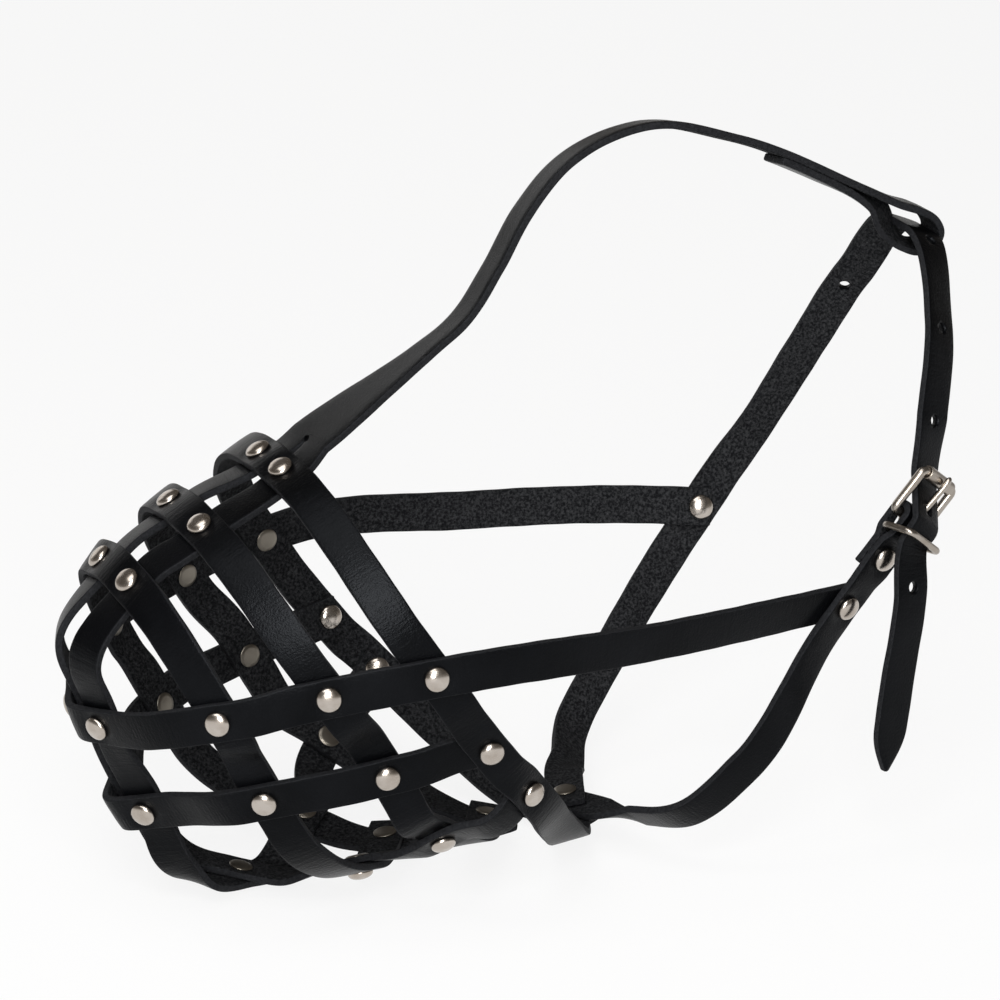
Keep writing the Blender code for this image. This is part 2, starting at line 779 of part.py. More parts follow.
def tongue(parts, metal):
    """A wire hooked round the heel bar, with its tip resting over the roller."""
    heel_rise, roller_rise = tongue_rise()
    points = []
    for step in range(HOOK_STEPS + 1):
        angle = math.pi / 2 + HOOK_TURN * (1 - step / HOOK_STEPS)
        points.append(Vector((heel_rise * math.cos(angle), 0.0, heel_rise * math.sin(angle))))
    points.append(Vector((BUCKLE_LENGTH / 2, 0.0, (heel_rise + roller_rise) / 2)))
    points.append(Vector((BUCKLE_LENGTH, 0.0, roller_rise)))
    points.append(Vector((BUCKLE_LENGTH + TONGUE_OVERHANG, 0.0, roller_rise - TONGUE_DIP)))
    wire("tongue", points, TONGUE_WIRE, False, parts, metal, buckle_matrix())


def keeper_ring(parts, metal):
    """An oval wire ring held in the fold, round the free end of the neck strap."""
    _, _, outward = buckle_frame_axes()
    tail = (keeper_crossing() - spot(HEEL)).dot(outward) + LEATHER / 2
    depth = tail + KEEPER_FACE_ROOM + KEEPER_WIRE / 2
    half = HALF_WIDTH + KEEPER_SIDE_ROOM + KEEPER_WIRE / 2
    points = rounded_loop(0.0, depth, half, KEEPER_WIRE)
    lean = Matrix.Rotation(KEEPER_TILT, 4, "Y")
    ring = [lean @ Vector((0.0, y, x)) for x, y in points]
    wire("keeper_ring", ring, KEEPER_WIRE, True, parts, metal, buckle_matrix(-KEEPER_SEAT))


def tongue_clearance_cutters(cutters):
    """Cutters for the slot in the fold and for the slanted hole that the tongue takes."""
    heel_rise, roller_rise = tongue_rise()
    matrix = buckle_matrix()
    work = bmesh.new()
    reach = 2 * (fold_radius() + LEATHER)
    box = matrix @ Matrix.Diagonal((reach, TONGUE_SLOT, reach, 1.0))
    bmesh.ops.create_cube(work, size=1.0, matrix=box)
    mesh = bpy.data.meshes.new("tongue_slot")
    work.to_mesh(mesh)
    work.free()
    slot = add_object("tongue_slot", mesh, cutters)
    slot.hide_render = True
    slot.display_type = "WIRE"
    holes = []
    slope = math.atan2(roller_rise - heel_rise, BUCKLE_LENGTH)
    for lift in (0.0, TONGUE_LIFT / 2, TONGUE_LIFT, TONGUE_LIFT + BUCKLE_SWING):
        way = Vector((math.cos(slope + lift), 0.0, math.sin(slope + lift)))
        start = Vector((-heel_rise * math.sin(lift), 0.0, heel_rise * math.cos(lift)))
        middle = start + way * BUCKLE_LENGTH / 2
        direction = matrix.to_3x3() @ way
        holes.append((matrix @ middle, direction, TONGUE_WIRE + 2 * SEAT_GAP, BUCKLE_LENGTH))
    return slot, holes


def rest_on_floor(parts, cutters):
    """Set the model down with the middle of its base at the origin."""
    bpy.context.view_layer.update()
    graph = bpy.context.evaluated_depsgraph_get()
    corners = []
    for item in parts.objects:
        solid = item.evaluated_get(graph)
        mesh = solid.to_mesh()
        corners += [solid.matrix_world @ vertex.co for vertex in mesh.vertices]
        solid.to_mesh_clear()
    low = [min(corner[axis] for corner in corners) for axis in range(3)]
    high = [max(corner[axis] for corner in corners) for axis in range(3)]
    base = Vector(((low[0] + high[0]) / 2, (low[1] + high[1]) / 2, low[2]))
    origin = bpy.data.objects.new("muzzle_origin", None)
    bpy.context.scene.collection.objects.link(origin)
    for item in list(parts.objects) + list(cutters.objects):
        item.parent = origin
    origin.location = -base
    bpy.context.view_layer.update()
    return base


def build():
    clear_scene()
    parts = new_collection("basket_muzzle")
    cutters = new_collection("cutters")
    leather = new_material("black_leather", (0.02, 0.02, 0.022), 0.45, 0.0)
    nickel = new_material("nickel", (0.75, 0.72, 0.68), 0.22, 1.0)
    places = basket_places()
    along, _, _ = buckle_frame_axes()
    places["fold"] = spot(HEEL) - along * FOLD_LENGTH
    all_hoops = ("front", "middle", "rear")
    routes = {
        "front_hoop": hoop_route(places, "front", 0.5, -0.5, (-0.5, 0.5)),
        "middle_hoop": hoop_route(places, "middle", -0.5, -0.5, (-0.5, 0.5)),
        "rear_hoop": hoop_route(places, "rear", 0.5, 0.5, (0.5, 1.5)),
        "upper_side_strap": side_route(places, "upper", "cheek", -0.5, all_hoops),
        "lower_side_strap": side_route(places, "lower", "rear_lower", -0.5, all_hoops[:2]),
        "left_prong": nose_route(places, "left", 0.5),
        "right_prong": nose_route(places, "right", -0.5),
        "buckle_strap": buckle_route(places),
        "neck_strap": neck_route(places),
    }
    normals, visits = place_normals(routes, places)
    _, _, normals["fold"] = buckle_frame_axes()
    for side, sign in SIDES.items():
        face = Vector((BILGE_FACE.x, BILGE_FACE.y * sign, BILGE_FACE.z))
        normals[f"middle_bilge_{side}"] = face.normalized()
    for knots in routes.values():
        settle(knots, normals, visits)
    ribbons = {name: Ribbon(knots, END_LAP, END_LAP) for name, knots in routes.items()}
    for name in ("upper_side_strap", "lower_side_strap"):
        ribbons[name] = Ribbon(routes[name], HIDDEN_LAP, HIDDEN_LAP)
    for name in ("left_prong", "right_prong"):
        ribbons[name] = Ribbon(routes[name], 0.0, HIDDEN_LAP)
    ribbons["neck_strap"] = Ribbon(routes["neck_strap"], END_LAP, 0.0)
    ribbons["buckle_strap"] = Ribbon(routes["buckle_strap"], FOLD_LAP, END_LAP)
    items = {}
    for name in ("front_hoop", "middle_hoop", "rear_hoop", "upper_side_strap", "lower_side_strap", "buckle_strap"):
        items[name] = plain_strap(name, ribbons[name], parts, leather)
        holes = rivet_holes(routes[name], places, normals)
        cut(items[name], hole_cutter(name + "_holes", holes, cutters))
    prongs = [ribbons["left_prong"], ribbons["right_prong"]]
    nose = forked_strap("forehead_strap", forehead_ribbon(), prongs, parts, leather)
    prong_holes = rivet_holes(routes["left_prong"] + routes["right_prong"], places, normals)
    cut(nose, hole_cutter("forehead_strap_holes", prong_holes, cutters))
    slot, tongue_holes = tongue_clearance_cutters(cutters)
    cut(items["buckle_strap"], slot)
    neck = pointed_strap("neck_strap", ribbons["neck_strap"], parts, leather)
    at_heel = ribbons["neck_strap"].index[-6]
    tongue_reach = ribbons["neck_strap"].reach[at_heel] - TONGUE_HOLE
    holes = rivet_holes(routes["neck_strap"], places, normals)
    holes += punched_holes(ribbons["neck_strap"], tongue_reach)
    cut(neck, hole_cutter("neck_strap_holes", holes, cutters))
    for number, hole in enumerate(tongue_holes):
        cut(neck, hole_cutter(f"tongue_hole_{number}", [hole], cutters))
    meshes = {layers: rivet_mesh(f"rivet_{layers}", layers) for layers in (2, STACK_MOST)}
    for name, middle in places.items():
        layers = STACK_MOST if name == "rear_keel" else 2
        rivet("rivet_" + name, meshes[layers], middle, normals[name], parts, nickel)
    buckle_frame(parts, nickel)
    roller(parts, nickel)
    tongue(parts, nickel)
    keeper_ring(parts, nickel)
    rest_on_floor(parts, cutters)


build()
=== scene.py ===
# %% [markdown]
# A riveted basket muzzle. Flat leather straps are bent round a dog's snout and riveted where they
# cross, and a neck strap closes with a small roller buckle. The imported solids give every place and
# every joint. This lesson dresses them: each strap becomes a swept surface with rounded edges,
# leather pressed in round the rivets and two different faces, and the metal becomes turned and bent
# surfaces. Lengths below are millimetres in the maker's frame until they go into a mesh.

# %% Load the frame
import json
import math

import bmesh
import bpy
import numpy as np
from mathutils import Matrix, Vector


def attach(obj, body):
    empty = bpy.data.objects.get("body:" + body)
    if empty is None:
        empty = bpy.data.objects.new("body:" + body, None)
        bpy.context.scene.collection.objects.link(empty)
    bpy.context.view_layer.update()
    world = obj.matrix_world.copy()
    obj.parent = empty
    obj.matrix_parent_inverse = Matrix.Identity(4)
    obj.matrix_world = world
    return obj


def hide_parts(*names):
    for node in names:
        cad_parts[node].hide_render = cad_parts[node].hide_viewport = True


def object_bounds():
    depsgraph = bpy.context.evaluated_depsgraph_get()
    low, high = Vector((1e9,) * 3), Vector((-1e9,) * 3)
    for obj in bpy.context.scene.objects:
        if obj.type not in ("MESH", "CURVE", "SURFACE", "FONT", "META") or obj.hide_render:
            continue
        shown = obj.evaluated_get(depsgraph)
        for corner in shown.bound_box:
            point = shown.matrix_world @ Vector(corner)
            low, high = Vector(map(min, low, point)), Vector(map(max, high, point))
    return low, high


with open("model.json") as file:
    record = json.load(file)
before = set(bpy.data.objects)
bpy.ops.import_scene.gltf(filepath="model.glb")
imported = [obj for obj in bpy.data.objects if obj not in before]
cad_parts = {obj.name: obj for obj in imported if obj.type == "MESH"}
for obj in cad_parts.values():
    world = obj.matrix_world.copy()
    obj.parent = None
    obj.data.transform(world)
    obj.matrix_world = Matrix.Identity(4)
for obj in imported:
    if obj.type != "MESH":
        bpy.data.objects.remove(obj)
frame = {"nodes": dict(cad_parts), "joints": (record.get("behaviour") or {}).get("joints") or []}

MM = 0.001
cad_low, cad_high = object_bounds()
joints = {joint["name"]: joint for joint in frame["joints"]}
HEEL = np.array((79.0, -45.0, 85.5))
SHIFT = np.array(joints["buckle_swing"]["pos_m"]) - HEEL * MM
print("nodes", len(frame["nodes"]), "shift of the maker's frame", SHIFT.round(5))

# %% [markdown]
# The camera comes first, because every later choice is judged through it. The view was fitted to the
# rivets: it stands to the left and in front of the nose, a little above it, far away with a long
# lens, so that the straps hardly converge. A camera's own axes are right, up and back, and the
# matrix columns are those three directions and the place.

# %% Camera
AZIMUTH = math.radians(-24.242)
ELEVATION = math.radians(19.186)
DISTANCE = 1710.404
PAN_RIGHT = -18.192
PAN_UP = 82.841
FOCAL_PIXELS = 6296.0
FRAME_PIXELS = 1000.0
SENSOR = 36.0
FAR_CLIP = 20.0


def show(name, data):
    item = bpy.data.objects.new(name, data)
    bpy.context.scene.collection.objects.link(item)
    return item


def stand(item, right, up, back, place):
    matrix = np.eye(4)
    matrix[:3] = np.stack((right, up, back, place), axis=1)
    item.matrix_world = Matrix(matrix)


def add_camera():
    """Place = right * pan + up * pan + back * distance; lens = sensor * focal pixels / frame pixels."""
    sin_a, cos_a = math.sin(AZIMUTH), math.cos(AZIMUTH)
    sin_e, cos_e = math.sin(ELEVATION), math.cos(ELEVATION)
    right = np.array((cos_a, sin_a, 0.0))
    up = np.array((-sin_e * sin_a, sin_e * cos_a, cos_e))
    back = np.array((sin_a * cos_e, -cos_a * cos_e, sin_e))
    place = (right * PAN_RIGHT + up * PAN_UP + back * DISTANCE) * MM + SHIFT
    data = bpy.data.cameras.new("camera")
    data.sensor_width = SENSOR
    data.lens = SENSOR * FOCAL_PIXELS / FRAME_PIXELS
    data.clip_end = FAR_CLIP
    item = show("camera", data)
    stand(item, right, up, back, place)
    bpy.context.scene.camera = item
    return item


camera = add_camera()
print("lens", round(camera.data.lens, 2), "mm")

# %% [markdown]
# Every strap is a strip of the same stock, so its whole shape follows from the line that it takes.
# The rivet places come first. Each hoop passes five levels: the top of the nose, two side levels, the
# bilge below them and the keel under the jaw. The numbers are along, half width and height, and
# the right half mirrors the left one.

# %% Rivet places
STRAP_WIDTH = 10.5
HALF_WIDTH = STRAP_WIDTH / 2
LEATHER = 2.2
SEAT_GAP = 0.3
LAYER = LEATHER + SEAT_GAP
END_LAP = 6.8
SIDES = {"left": -1.0, "right": 1.0}
HOOPS = {
    "front": {"top": (-128.5, 9.5, 86.0), "upper": (-116.5, 39.5, 57.0), "lower": (-103.5, 37.5, 32.5),
              "bilge": (-69.5, 19.0, 1.5), "keel": (-53.5, 0.0, -1.0)},
    "middle": {"top": (-109.0, 10.5, 98.5), "upper": (-91.0, 51.0, 63.5), "lower": (-74.0, 48.5, 38.5),
               "bilge": (-54.3, 38.4, 14.2), "keel": (-24.0, 0.0, 0.0)},
    "rear": {"top": (-85.0, 7.5, 109.5), "upper": (-64.5, 58.5, 67.5), "lower": (-47.5, 54.5, 43.5),
             "bilge": (-34.5, 50.0, 28.0), "keel": (0.0, 0.0, 0.0)},
}
NOSE = {"nose_upper": (-137.0, 8.5, 48.5), "nose_lower": (-125.0, 8.0, 22.5), "cheek": (60.5, 43.5, 63.5)}
NOSE_CROSSING = (-96.0, 0.0, -3.5)
BASKET_CORE = np.array((-90.0, 0.0, 50.0))
BILGE_FACE = (0.0, 0.72, -0.7)
UNDER_FACE = (-0.45, 0.68, -0.48)
BUCKLE_FACE = np.array((0.22, -0.96, -0.19))
FOLD_LENGTH = 12.5


def unit(vector):
    """A vector, or each row of an array, divided by its length."""
    vector = np.asarray(vector, float)
    return vector / np.linalg.norm(vector, axis=-1, keepdims=True)


def across_to(place, side):
    """The place with its half width put on that side."""
    return np.array(place, float) * (1.0, side, 1.0)


def square_to(vectors, ways):
    """What is left of each vector at right angles to its way, at unit length."""
    return unit(vectors - ways * np.sum(vectors * ways, axis=-1, keepdims=True))


def rivet_places():
    """Middle places as they are, every other place once on each side."""
    spots = {f"{hoop}_{level}": place for hoop, levels in HOOPS.items() for level, place in levels.items()}
    spots.update(NOSE)
    places = {"nose_crossing": np.array(NOSE_CROSSING)}
    for name, place in spots.items():
        if place[1] == 0.0:
            places[name] = np.array(place)
            continue
        for side, sign in SIDES.items():
            places[f"{name}_{side}"] = across_to(place, sign)
    return places


places = rivet_places()
ALONG = unit(HEEL - places["cheek_left"])
OUTWARD = square_to(BUCKLE_FACE, ALONG)
WIDTH = np.cross(OUTWARD, ALONG)
places["fold"] = HEEL - ALONG * FOLD_LENGTH
print("rivet places", len(places))

# %% [markdown]
# A strap's route is a list of knots. A knot on a rivet has a layer, counted outwards from the middle
# of the stack, because straps that cross lie on each other there. A free knot only bends the strap.
# Splines through plain points would do for a cord, but a strap also needs to know which way it faces.

# %% Knots and basket routes
NOSE_FRONT = (-142.0, 9.5, 67.0)
NOSE_UNDER = (-115.0, 5.4, 5.2)
HOOP_BENDS = {"middle": (1, (-64.5, 46.0, 22.0)), "rear": (0, (-20.5, 37.0, 11.5))}
PRONG_RISE = (-44.5, 47.5, 18.0)
UPPER_SWELL = (-3.0, 57.5, 67.0)
FORK = np.array((-74.0, 0.0, 115.5))


class Knot:
    """One point of a route: where it is, its rivet and layer, and the way, face and flat it is given."""

    def __init__(self, at, rivet=None, layer=0.0, face=None, way=None, flat=0.0, turned=1.0):
        self.at = np.array(at, float)
        self.rivet, self.layer = rivet, layer
        self.face, self.way, self.flat, self.turned = face, way, flat, turned


def on(rivet, layer):
    return Knot(places[rivet], rivet, layer)


def hoop_route(hoop, bilge, lower, keels):
    """From the left end under the jaw, over the nose and down to the right end."""
    layers = {"bilge": bilge, "lower": lower, "upper": -0.5, "top": 0.5}
    half = {}
    for side, sign in SIDES.items():
        half[side] = [on(f"{hoop}_{level}_{side}", layer) for level, layer in layers.items()]
        if hoop in HOOP_BENDS:
            turn, bend = HOOP_BENDS[hoop]
            half[side].insert(turn, Knot(across_to(bend, sign)))
    keel = f"{hoop}_keel"
    return [on(keel, keels[0])] + half["left"] + half["right"][::-1] + [on(keel, keels[1])]


def side_route(level, end, hoops):
    """Round the nose from the right end to the left end."""
    half = {}
    for side, sign in SIDES.items():
        half[side] = [on(f"nose_{level}_{side}", 0.5)] + [on(f"{hoop}_{level}_{side}", 0.5) for hoop in hoops]
        if level == "upper":
            half[side].append(Knot(across_to(UPPER_SWELL, sign)))
        half[side].append(on(f"{end}_{side}", -0.5))
    return half["right"][::-1] + half["left"]


def nose_route(side, crossing):
    """One prong: over the nose, across its fellow under the chin and back along the other side."""
    sign = SIDES[side]
    other = "right" if side == "left" else "left"
    under = across_to(NOSE_UNDER, sign)
    under = under + unit(under - BASKET_CORE) * crossing * LAYER
    knots = [Knot(FORK + (0.0, sign * HALF_WIDTH, 0.0))]
    knots += [on(f"{hoop}_top_{side}", -0.5) for hoop in ("rear", "middle", "front")]
    knots += [Knot(across_to(NOSE_FRONT, sign))]
    knots += [on(f"nose_{level}_{side}", -0.5) for level in ("upper", "lower")]
    knots += [Knot(under, face=unit(across_to(UNDER_FACE, sign))), on("nose_crossing", crossing)]
    knots += [on(f"front_bilge_{other}", -0.5), on(f"middle_bilge_{other}", 0.5)]
    return knots + [Knot(across_to(PRONG_RISE, -sign)), on(f"rear_bilge_{other}", -0.5)]


routes = {
    "front_hoop": hoop_route("front", 0.5, -0.5, (-0.5, 0.5)),
    "middle_hoop": hoop_route("middle", -0.5, -0.5, (-0.5, 0.5)),
    "rear_hoop": hoop_route("rear", 0.5, 0.5, (0.5, 1.5)),
    "upper_side_strap": side_route("upper", "cheek", ("front", "middle", "rear")),
    "lower_side_strap": side_route("lower", "rear_lower", ("front", "middle")),
    "left_prong": nose_route("left", 0.5),
    "right_prong": nose_route("right", -0.5),
}
print({name: len(knots) for name, knots in routes.items()})

# %% [markdown]
# Two straps go round the neck. The buckle strap folds back on itself round the heel bar of the buckle
# and is riveted there. The neck strap runs up the right side, through the loop, down through the
# buckle and keeper ring, and ends in a point. Their free knots face away from the neck's own axis.

# %% Neck routes
BUCKLE_WIRE = 2.5
BUCKLE_LENGTH = 12.8
WIRE_PLAY = 0.1
ROLLER_SHEET = 0.6
ROLLER_SKIN = BUCKLE_WIRE / 2 + WIRE_PLAY + ROLLER_SHEET
ROLLER_SLACK = 1.2
FOLD_RADIUS = BUCKLE_WIRE / 2 + SEAT_GAP + LEATHER / 2
FOLD_FLAT = 3.6
FOLD_STEPS = 8
KEEPER_SEAT = 5.0
KEEPER_BULGE = 1.6
POINT_LENGTH = 12.0
FLAT_MARGIN = 0.3
NECK_MIDDLE = np.array((51.0, 0.0, 75.0))
NECK_AXIS = np.array((0.82, 0.0, -0.57))
THROAT = ((10.5, 22.5, 3.4), (18.0, 36.0, 7.5), (32.0, 44.0, 22.0))
NAPE = ((79.0, 45.0, 85.5), (90.0, 36.5, 110.0), (97.5, 25.0, 132.0))
NECK_TOP = (101.6, 0.0, 151.5)
NECK_TOP_FACE = (0.37, 0.0, 0.93)
TAIL = ((75.0, -54.5, 67.0), (70.5, -56.5, 44.0))
TAIL_TIP = np.array((67.0, -57.0, 20.0))


def round_neck(place, side):
    """A free knot that faces away from the axis of the neck."""
    at = across_to(place, side)
    away = at - NECK_MIDDLE
    return Knot(at, face=unit(away - NECK_AXIS * (away @ NECK_AXIS)))


def buckle_route():
    """From the folded-back end, half round the heel bar, down past the cheek to the throat."""
    inner = Knot(places["fold"], "fold", -0.5, way=ALONG, flat=FOLD_FLAT, turned=-1.0)
    outer = Knot(places["fold"], "fold", 0.5, way=-ALONG, flat=FOLD_FLAT)
    turn = []
    for angle in np.linspace(-math.pi / 2, math.pi / 2, FOLD_STEPS + 1):
        face = ALONG * math.cos(angle) + OUTWARD * math.sin(angle)
        turn.append(Knot(HEEL + face * FOLD_RADIUS, face=face, way=np.cross(WIDTH, face) * -1.0))
    legs = []
    for sign in (-1.0, 1.0):
        at = HEEL + OUTWARD * sign * FOLD_RADIUS - ALONG * KEEPER_SEAT
        legs.append(Knot(at, face=OUTWARD * sign, way=ALONG * -sign))
    folded = [inner, legs[0]] + turn + [legs[1], outer]
    throat = [round_neck(place, SIDES["left"]) for place in THROAT[::-1]]
    return folded + [on("cheek_left", 0.5)] + throat + [on("rear_keel", -0.5)]


def buckle_crossing():
    """The straight stretch from inside the roller to outside the heel: two points and its face."""
    at_roller = ROLLER_SKIN + ROLLER_SLACK + LEATHER / 2
    at_heel = FOLD_RADIUS + LAYER
    slope = math.asin((at_roller + at_heel) / BUCKLE_LENGTH)
    face = OUTWARD * math.cos(slope) + ALONG * math.sin(slope)
    return HEEL + ALONG * BUCKLE_LENGTH - face * at_roller, HEEL + face * at_heel, face


KEEPER_RISE = FOLD_RADIUS + LAYER + KEEPER_BULGE


def neck_route():
    """From the throat up the right side, through the loop, down through the buckle to the point."""
    top, foot, face = buckle_crossing()
    down = unit(foot - top)
    knots = [on("rear_keel", -1.5)] + [round_neck(place, SIDES["right"]) for place in THROAT]
    knots += [on("cheek_right", 0.5)] + [round_neck(place, SIDES["right"]) for place in NAPE]
    knots.append(Knot(NECK_TOP, face=unit(NECK_TOP_FACE), flat=HALF_WIDTH + FLAT_MARGIN))
    knots += [round_neck(place, SIDES["left"]) for place in NAPE[:0:-1]]
    knots += [Knot(top, face=face, way=down), Knot(foot, face=face, way=down, flat=BUCKLE_WIRE)]
    knots.append(Knot(HEEL - ALONG * KEEPER_SEAT + OUTWARD * KEEPER_RISE, face=OUTWARD))
    shoulder = TAIL_TIP + unit(np.array(TAIL[-1]) - TAIL_TIP) * POINT_LENGTH
    return knots + [Knot(place) for place in TAIL] + [Knot(shoulder), Knot(TAIL_TIP)]


FOOT_KNOT = -6
routes["buckle_strap"] = buckle_route()
routes["neck_strap"] = neck_route()
print("neck strap knots", len(routes["neck_strap"]))

# %% [markdown]
# At a rivet the straps lie flat on each other, so each rivet place has one outward face, square to
# the straps that cross there: the cross product of their ways. Some faces lean a little further, as
# their caps do in the photo. Each pinned knot then moves out to its layer and lies flat far enough for
# the crossing strap to rest on it.

# %% Faces at the rivets
LEAST_SINE = 0.1
FACE_LIFT = {"front_lower": (0.0, 0.0, 0.25), "middle_lower": (0.0, 0.0, 0.15), "rear_lower": (0.0, 0.0, 0.1),
             "nose_lower": (0.0, 0.6, 0.0), "nose_upper": (0.0, 0.25, 0.0)}


def knot_ways(knots):
    """The two chords at a knot, the shorter one counting more; at an end, the chord mirrored."""
    points = np.array([knot.at for knot in knots])
    chords = np.diff(points, axis=0)
    lengths = np.linalg.norm(chords, axis=1, keepdims=True)
    steps = chords / lengths
    inner = unit(steps[:-1] * lengths[1:] + steps[1:] * lengths[:-1])
    first, last = unit(2 * steps[0] - inner[0]), unit(2 * steps[-1] - inner[-1])
    ways = np.vstack((first, inner, last))
    return [way if knot.way is None else knot.way for knot, way in zip(knots, ways)]


def rivet_faces():
    """Cross product of the two ways that cross most squarely, turned away from the basket's core."""
    visits = {name: [] for name in places}
    for knots in routes.values():
        for knot, way in zip(knots, knot_ways(knots)):
            if knot.rivet:
                visits[knot.rivet].append(way)
    faces = {}
    for name, ways in visits.items():
        pairs = [np.cross(one, other) for i, one in enumerate(ways) for other in ways[i + 1:]]
        best = max(pairs, key=np.linalg.norm)
        turn = np.sign(best @ (places[name] - BASKET_CORE)) or 1.0
        faces[name] = unit(best * turn) if best.any() else OUTWARD
    for side, sign in SIDES.items():
        faces[f"middle_bilge_{side}"] = unit(across_to(BILGE_FACE, sign))
        for name, lift in FACE_LIFT.items():
            faces[f"{name}_{side}"] = unit(faces[f"{name}_{side}"] + across_to(lift, sign))
    faces["fold"] = OUTWARD
    return faces, visits


def flat_half(way, fellows):
    """Half the length that lies flat: half width * (1 + cosine) / sine of the crossing angle."""
    longest = HALF_WIDTH
    for fellow in fellows:
        sine = np.linalg.norm(np.cross(way, fellow))
        if sine > LEAST_SINE:
            longest = max(longest, min(HALF_WIDTH * (1 + abs(way @ fellow)) / sine, END_LAP + HALF_WIDTH))
    return longest + FLAT_MARGIN


def settle(knots, faces, visits):
    """Pinned knot: place = rivet place + face * layer * layer thickness, and its way is square to the face."""
    for knot, way in zip(knots, knot_ways(knots)):
        if knot.rivet:
            face = faces[knot.rivet]
            knot.face = face * knot.turned
            knot.way = square_to(way, face)
            knot.flat = knot.flat or flat_half(knot.way, visits[knot.rivet])
            knot.at = knot.at + face * knot.layer * LAYER
    for knot, way in zip(knots, knot_ways(knots)):
        knot.way = way


faces, visits = rivet_faces()
for knots in routes.values():
    settle(knots, faces, visits)
print("rear keel faces", faces["rear_keel"].round(3))

# %% [markdown]
# Now the route becomes a fine line: straight through each flat, and between two flats a cubic blend
# that leaves one way and arrives another. The face is read between the knots that have one and then
# made square to the line, which keeps a strap from twisting more than it has to. The basket's straps
# are softened along their length, and the two neck straps stay firm, since the buckle fits their folds.

# %% Lay the strap lines
STATION = 0.8
FLAT_SHARE = 0.48
SOFTEN = 2.6
SOFTEN_REACH = 3.0


def reach_along(points):
    """Length of the path from its start to each of its points."""
    return np.concatenate(((0.0,), np.cumsum(np.linalg.norm(np.diff(points, axis=0), axis=1))))


class Line:
    """Stations along a strap: points, ways, outward faces and the reach from its start."""

    def __init__(self, points, face_marks, stops, soft=False):
        self.at = softened(points) if soft else points
        self.way = unit(np.gradient(self.at, axis=0))
        self.reach = reach_along(self.at)
        spots = self.reach[[mark for mark, _ in face_marks]]
        marked = np.array([face for _, face in face_marks])
        read = np.stack([np.interp(self.reach, spots, marked[:, axis]) for axis in range(3)], axis=1)
        self.face = square_to(softened(read) if soft else read, self.way)
        self.across = np.cross(self.way, self.face)
        self.stops = [(knot, self.reach[number]) for knot, number in stops]

    def where(self, reach):
        """Point, way and face at a reach, read between stations."""
        return [np.array([np.interp(reach, self.reach, rows[:, axis]) for axis in range(3)])
                for rows in (self.at, self.way, self.face)]


def softened(rows):
    """Rows averaged with their neighbours by a bell curve; past an end they go on point-mirrored."""
    count = math.ceil(SOFTEN_REACH * SOFTEN / STATION)
    bell = np.exp(-0.5 * (np.arange(-count, count + 1) * STATION / SOFTEN) ** 2)
    padded = np.pad(rows, ((count, count), (0, 0)), mode="reflect", reflect_type="odd")
    bell = bell / bell.sum()
    return np.stack([np.convolve(padded[:, axis], bell, mode="valid") for axis in range(3)], axis=1)


def hermite(start, start_way, end, end_way):
    """Cubic with both ends and both ways given, each way as long as the gap; the ends are left out."""
    gap = np.linalg.norm(end - start)
    t = np.linspace(0.0, 1.0, max(3, math.ceil(gap / STATION) + 1))[1:-1, None]
    return (start * (2 * t**3 - 3 * t**2 + 1) + start_way * gap * (t**3 - 2 * t**2 + t)
            + end * (3 * t**2 - 2 * t**3) + end_way * gap * (t**3 - t**2))


def lay(knots, lap_start=0.0, lap_end=0.0, soft=False):
    """Half flat = the least of the knot's own and a share of the span on each side; cubics fill the rest."""
    spans = [np.linalg.norm(b.at - a.at) for a, b in zip(knots, knots[1:])]
    rows, marks, stops, count = [], [], [], 0
    for i, knot in enumerate(knots):
        room = min([knot.flat] + [FLAT_SHARE * span for span in spans[max(0, i - 1):i + 1]])
        before = room if i else lap_start
        after = room if i < len(knots) - 1 else lap_end
        ahead = np.linspace(-before, 0.0, math.ceil(before / STATION) + 1)
        beyond = np.linspace(0.0, after, math.ceil(after / STATION) + 1)[1:]
        flat = knot.at + knot.way * np.concatenate((ahead, beyond))[:, None]
        if i:
            blend = hermite(rows[-1][-1], knots[i - 1].way, flat[0], knot.way)
            rows.append(blend)
            count += len(blend)
        if knot.face is not None:
            marks += [(count, knot.face), (count + len(flat) - 1, knot.face)]
        stops.append((knot, count + len(ahead) - 1))
        rows.append(flat)
        count += len(flat)
    return Line(np.vstack(rows), marks, stops, soft)


FOLD_LAP = 4.5
HIDDEN_LAP = 2.6
LAPS = {"left_prong": (0.0, HIDDEN_LAP), "right_prong": (0.0, HIDDEN_LAP), "neck_strap": (END_LAP, 0.0),
        "buckle_strap": (FOLD_LAP, END_LAP), "lower_side_strap": (HIDDEN_LAP, HIDDEN_LAP),
        "upper_side_strap": (HIDDEN_LAP, HIDDEN_LAP)}
FIRM = ("neck_strap", "buckle_strap")
lines = {}
for name, knots in routes.items():
    lines[name] = lay(knots, *LAPS.get(name, (END_LAP, END_LAP)), name not in FIRM)
print({name: round(float(line.reach[-1]), 1) for name, line in lines.items()})

# %% [markdown]
# The forehead strap lies in the middle plane. It starts at the end that is lapped back under it, goes
# round the loop that holds the neck strap, over the forehead and down to the fork. It leans a
# little to one side on the way, as a strap does that has been worn and stored.

# %% Forehead line
FOREHEAD = ((-62.5, 122.5), (-42.0, 135.0), (-32.0, 142.0), (-22.0, 155.5), (-13.5, 169.5), (-2.0, 181.5),
            (20.0, 189.0), (48.0, 182.5))
LOOP = ((87.0, 163.8), (96.5, 159.0), (102.5, 156.6), (107.2, 153.4), (108.5, 150.0), (106.5, 146.6),
        (101.7, 145.9), (97.8, 148.4), (95.0, 151.6), (92.8, 155.2))
LOOP_LAP_END = 61.0
LOOP_LAP_GAP = -2.5
LOOP_LAP_RISE = 2.2
LOOP_LEAN = math.radians(44.0)
LOOP_LEAN_REACH = 10.0
FOREHEAD_LEAN = math.radians(12.0)


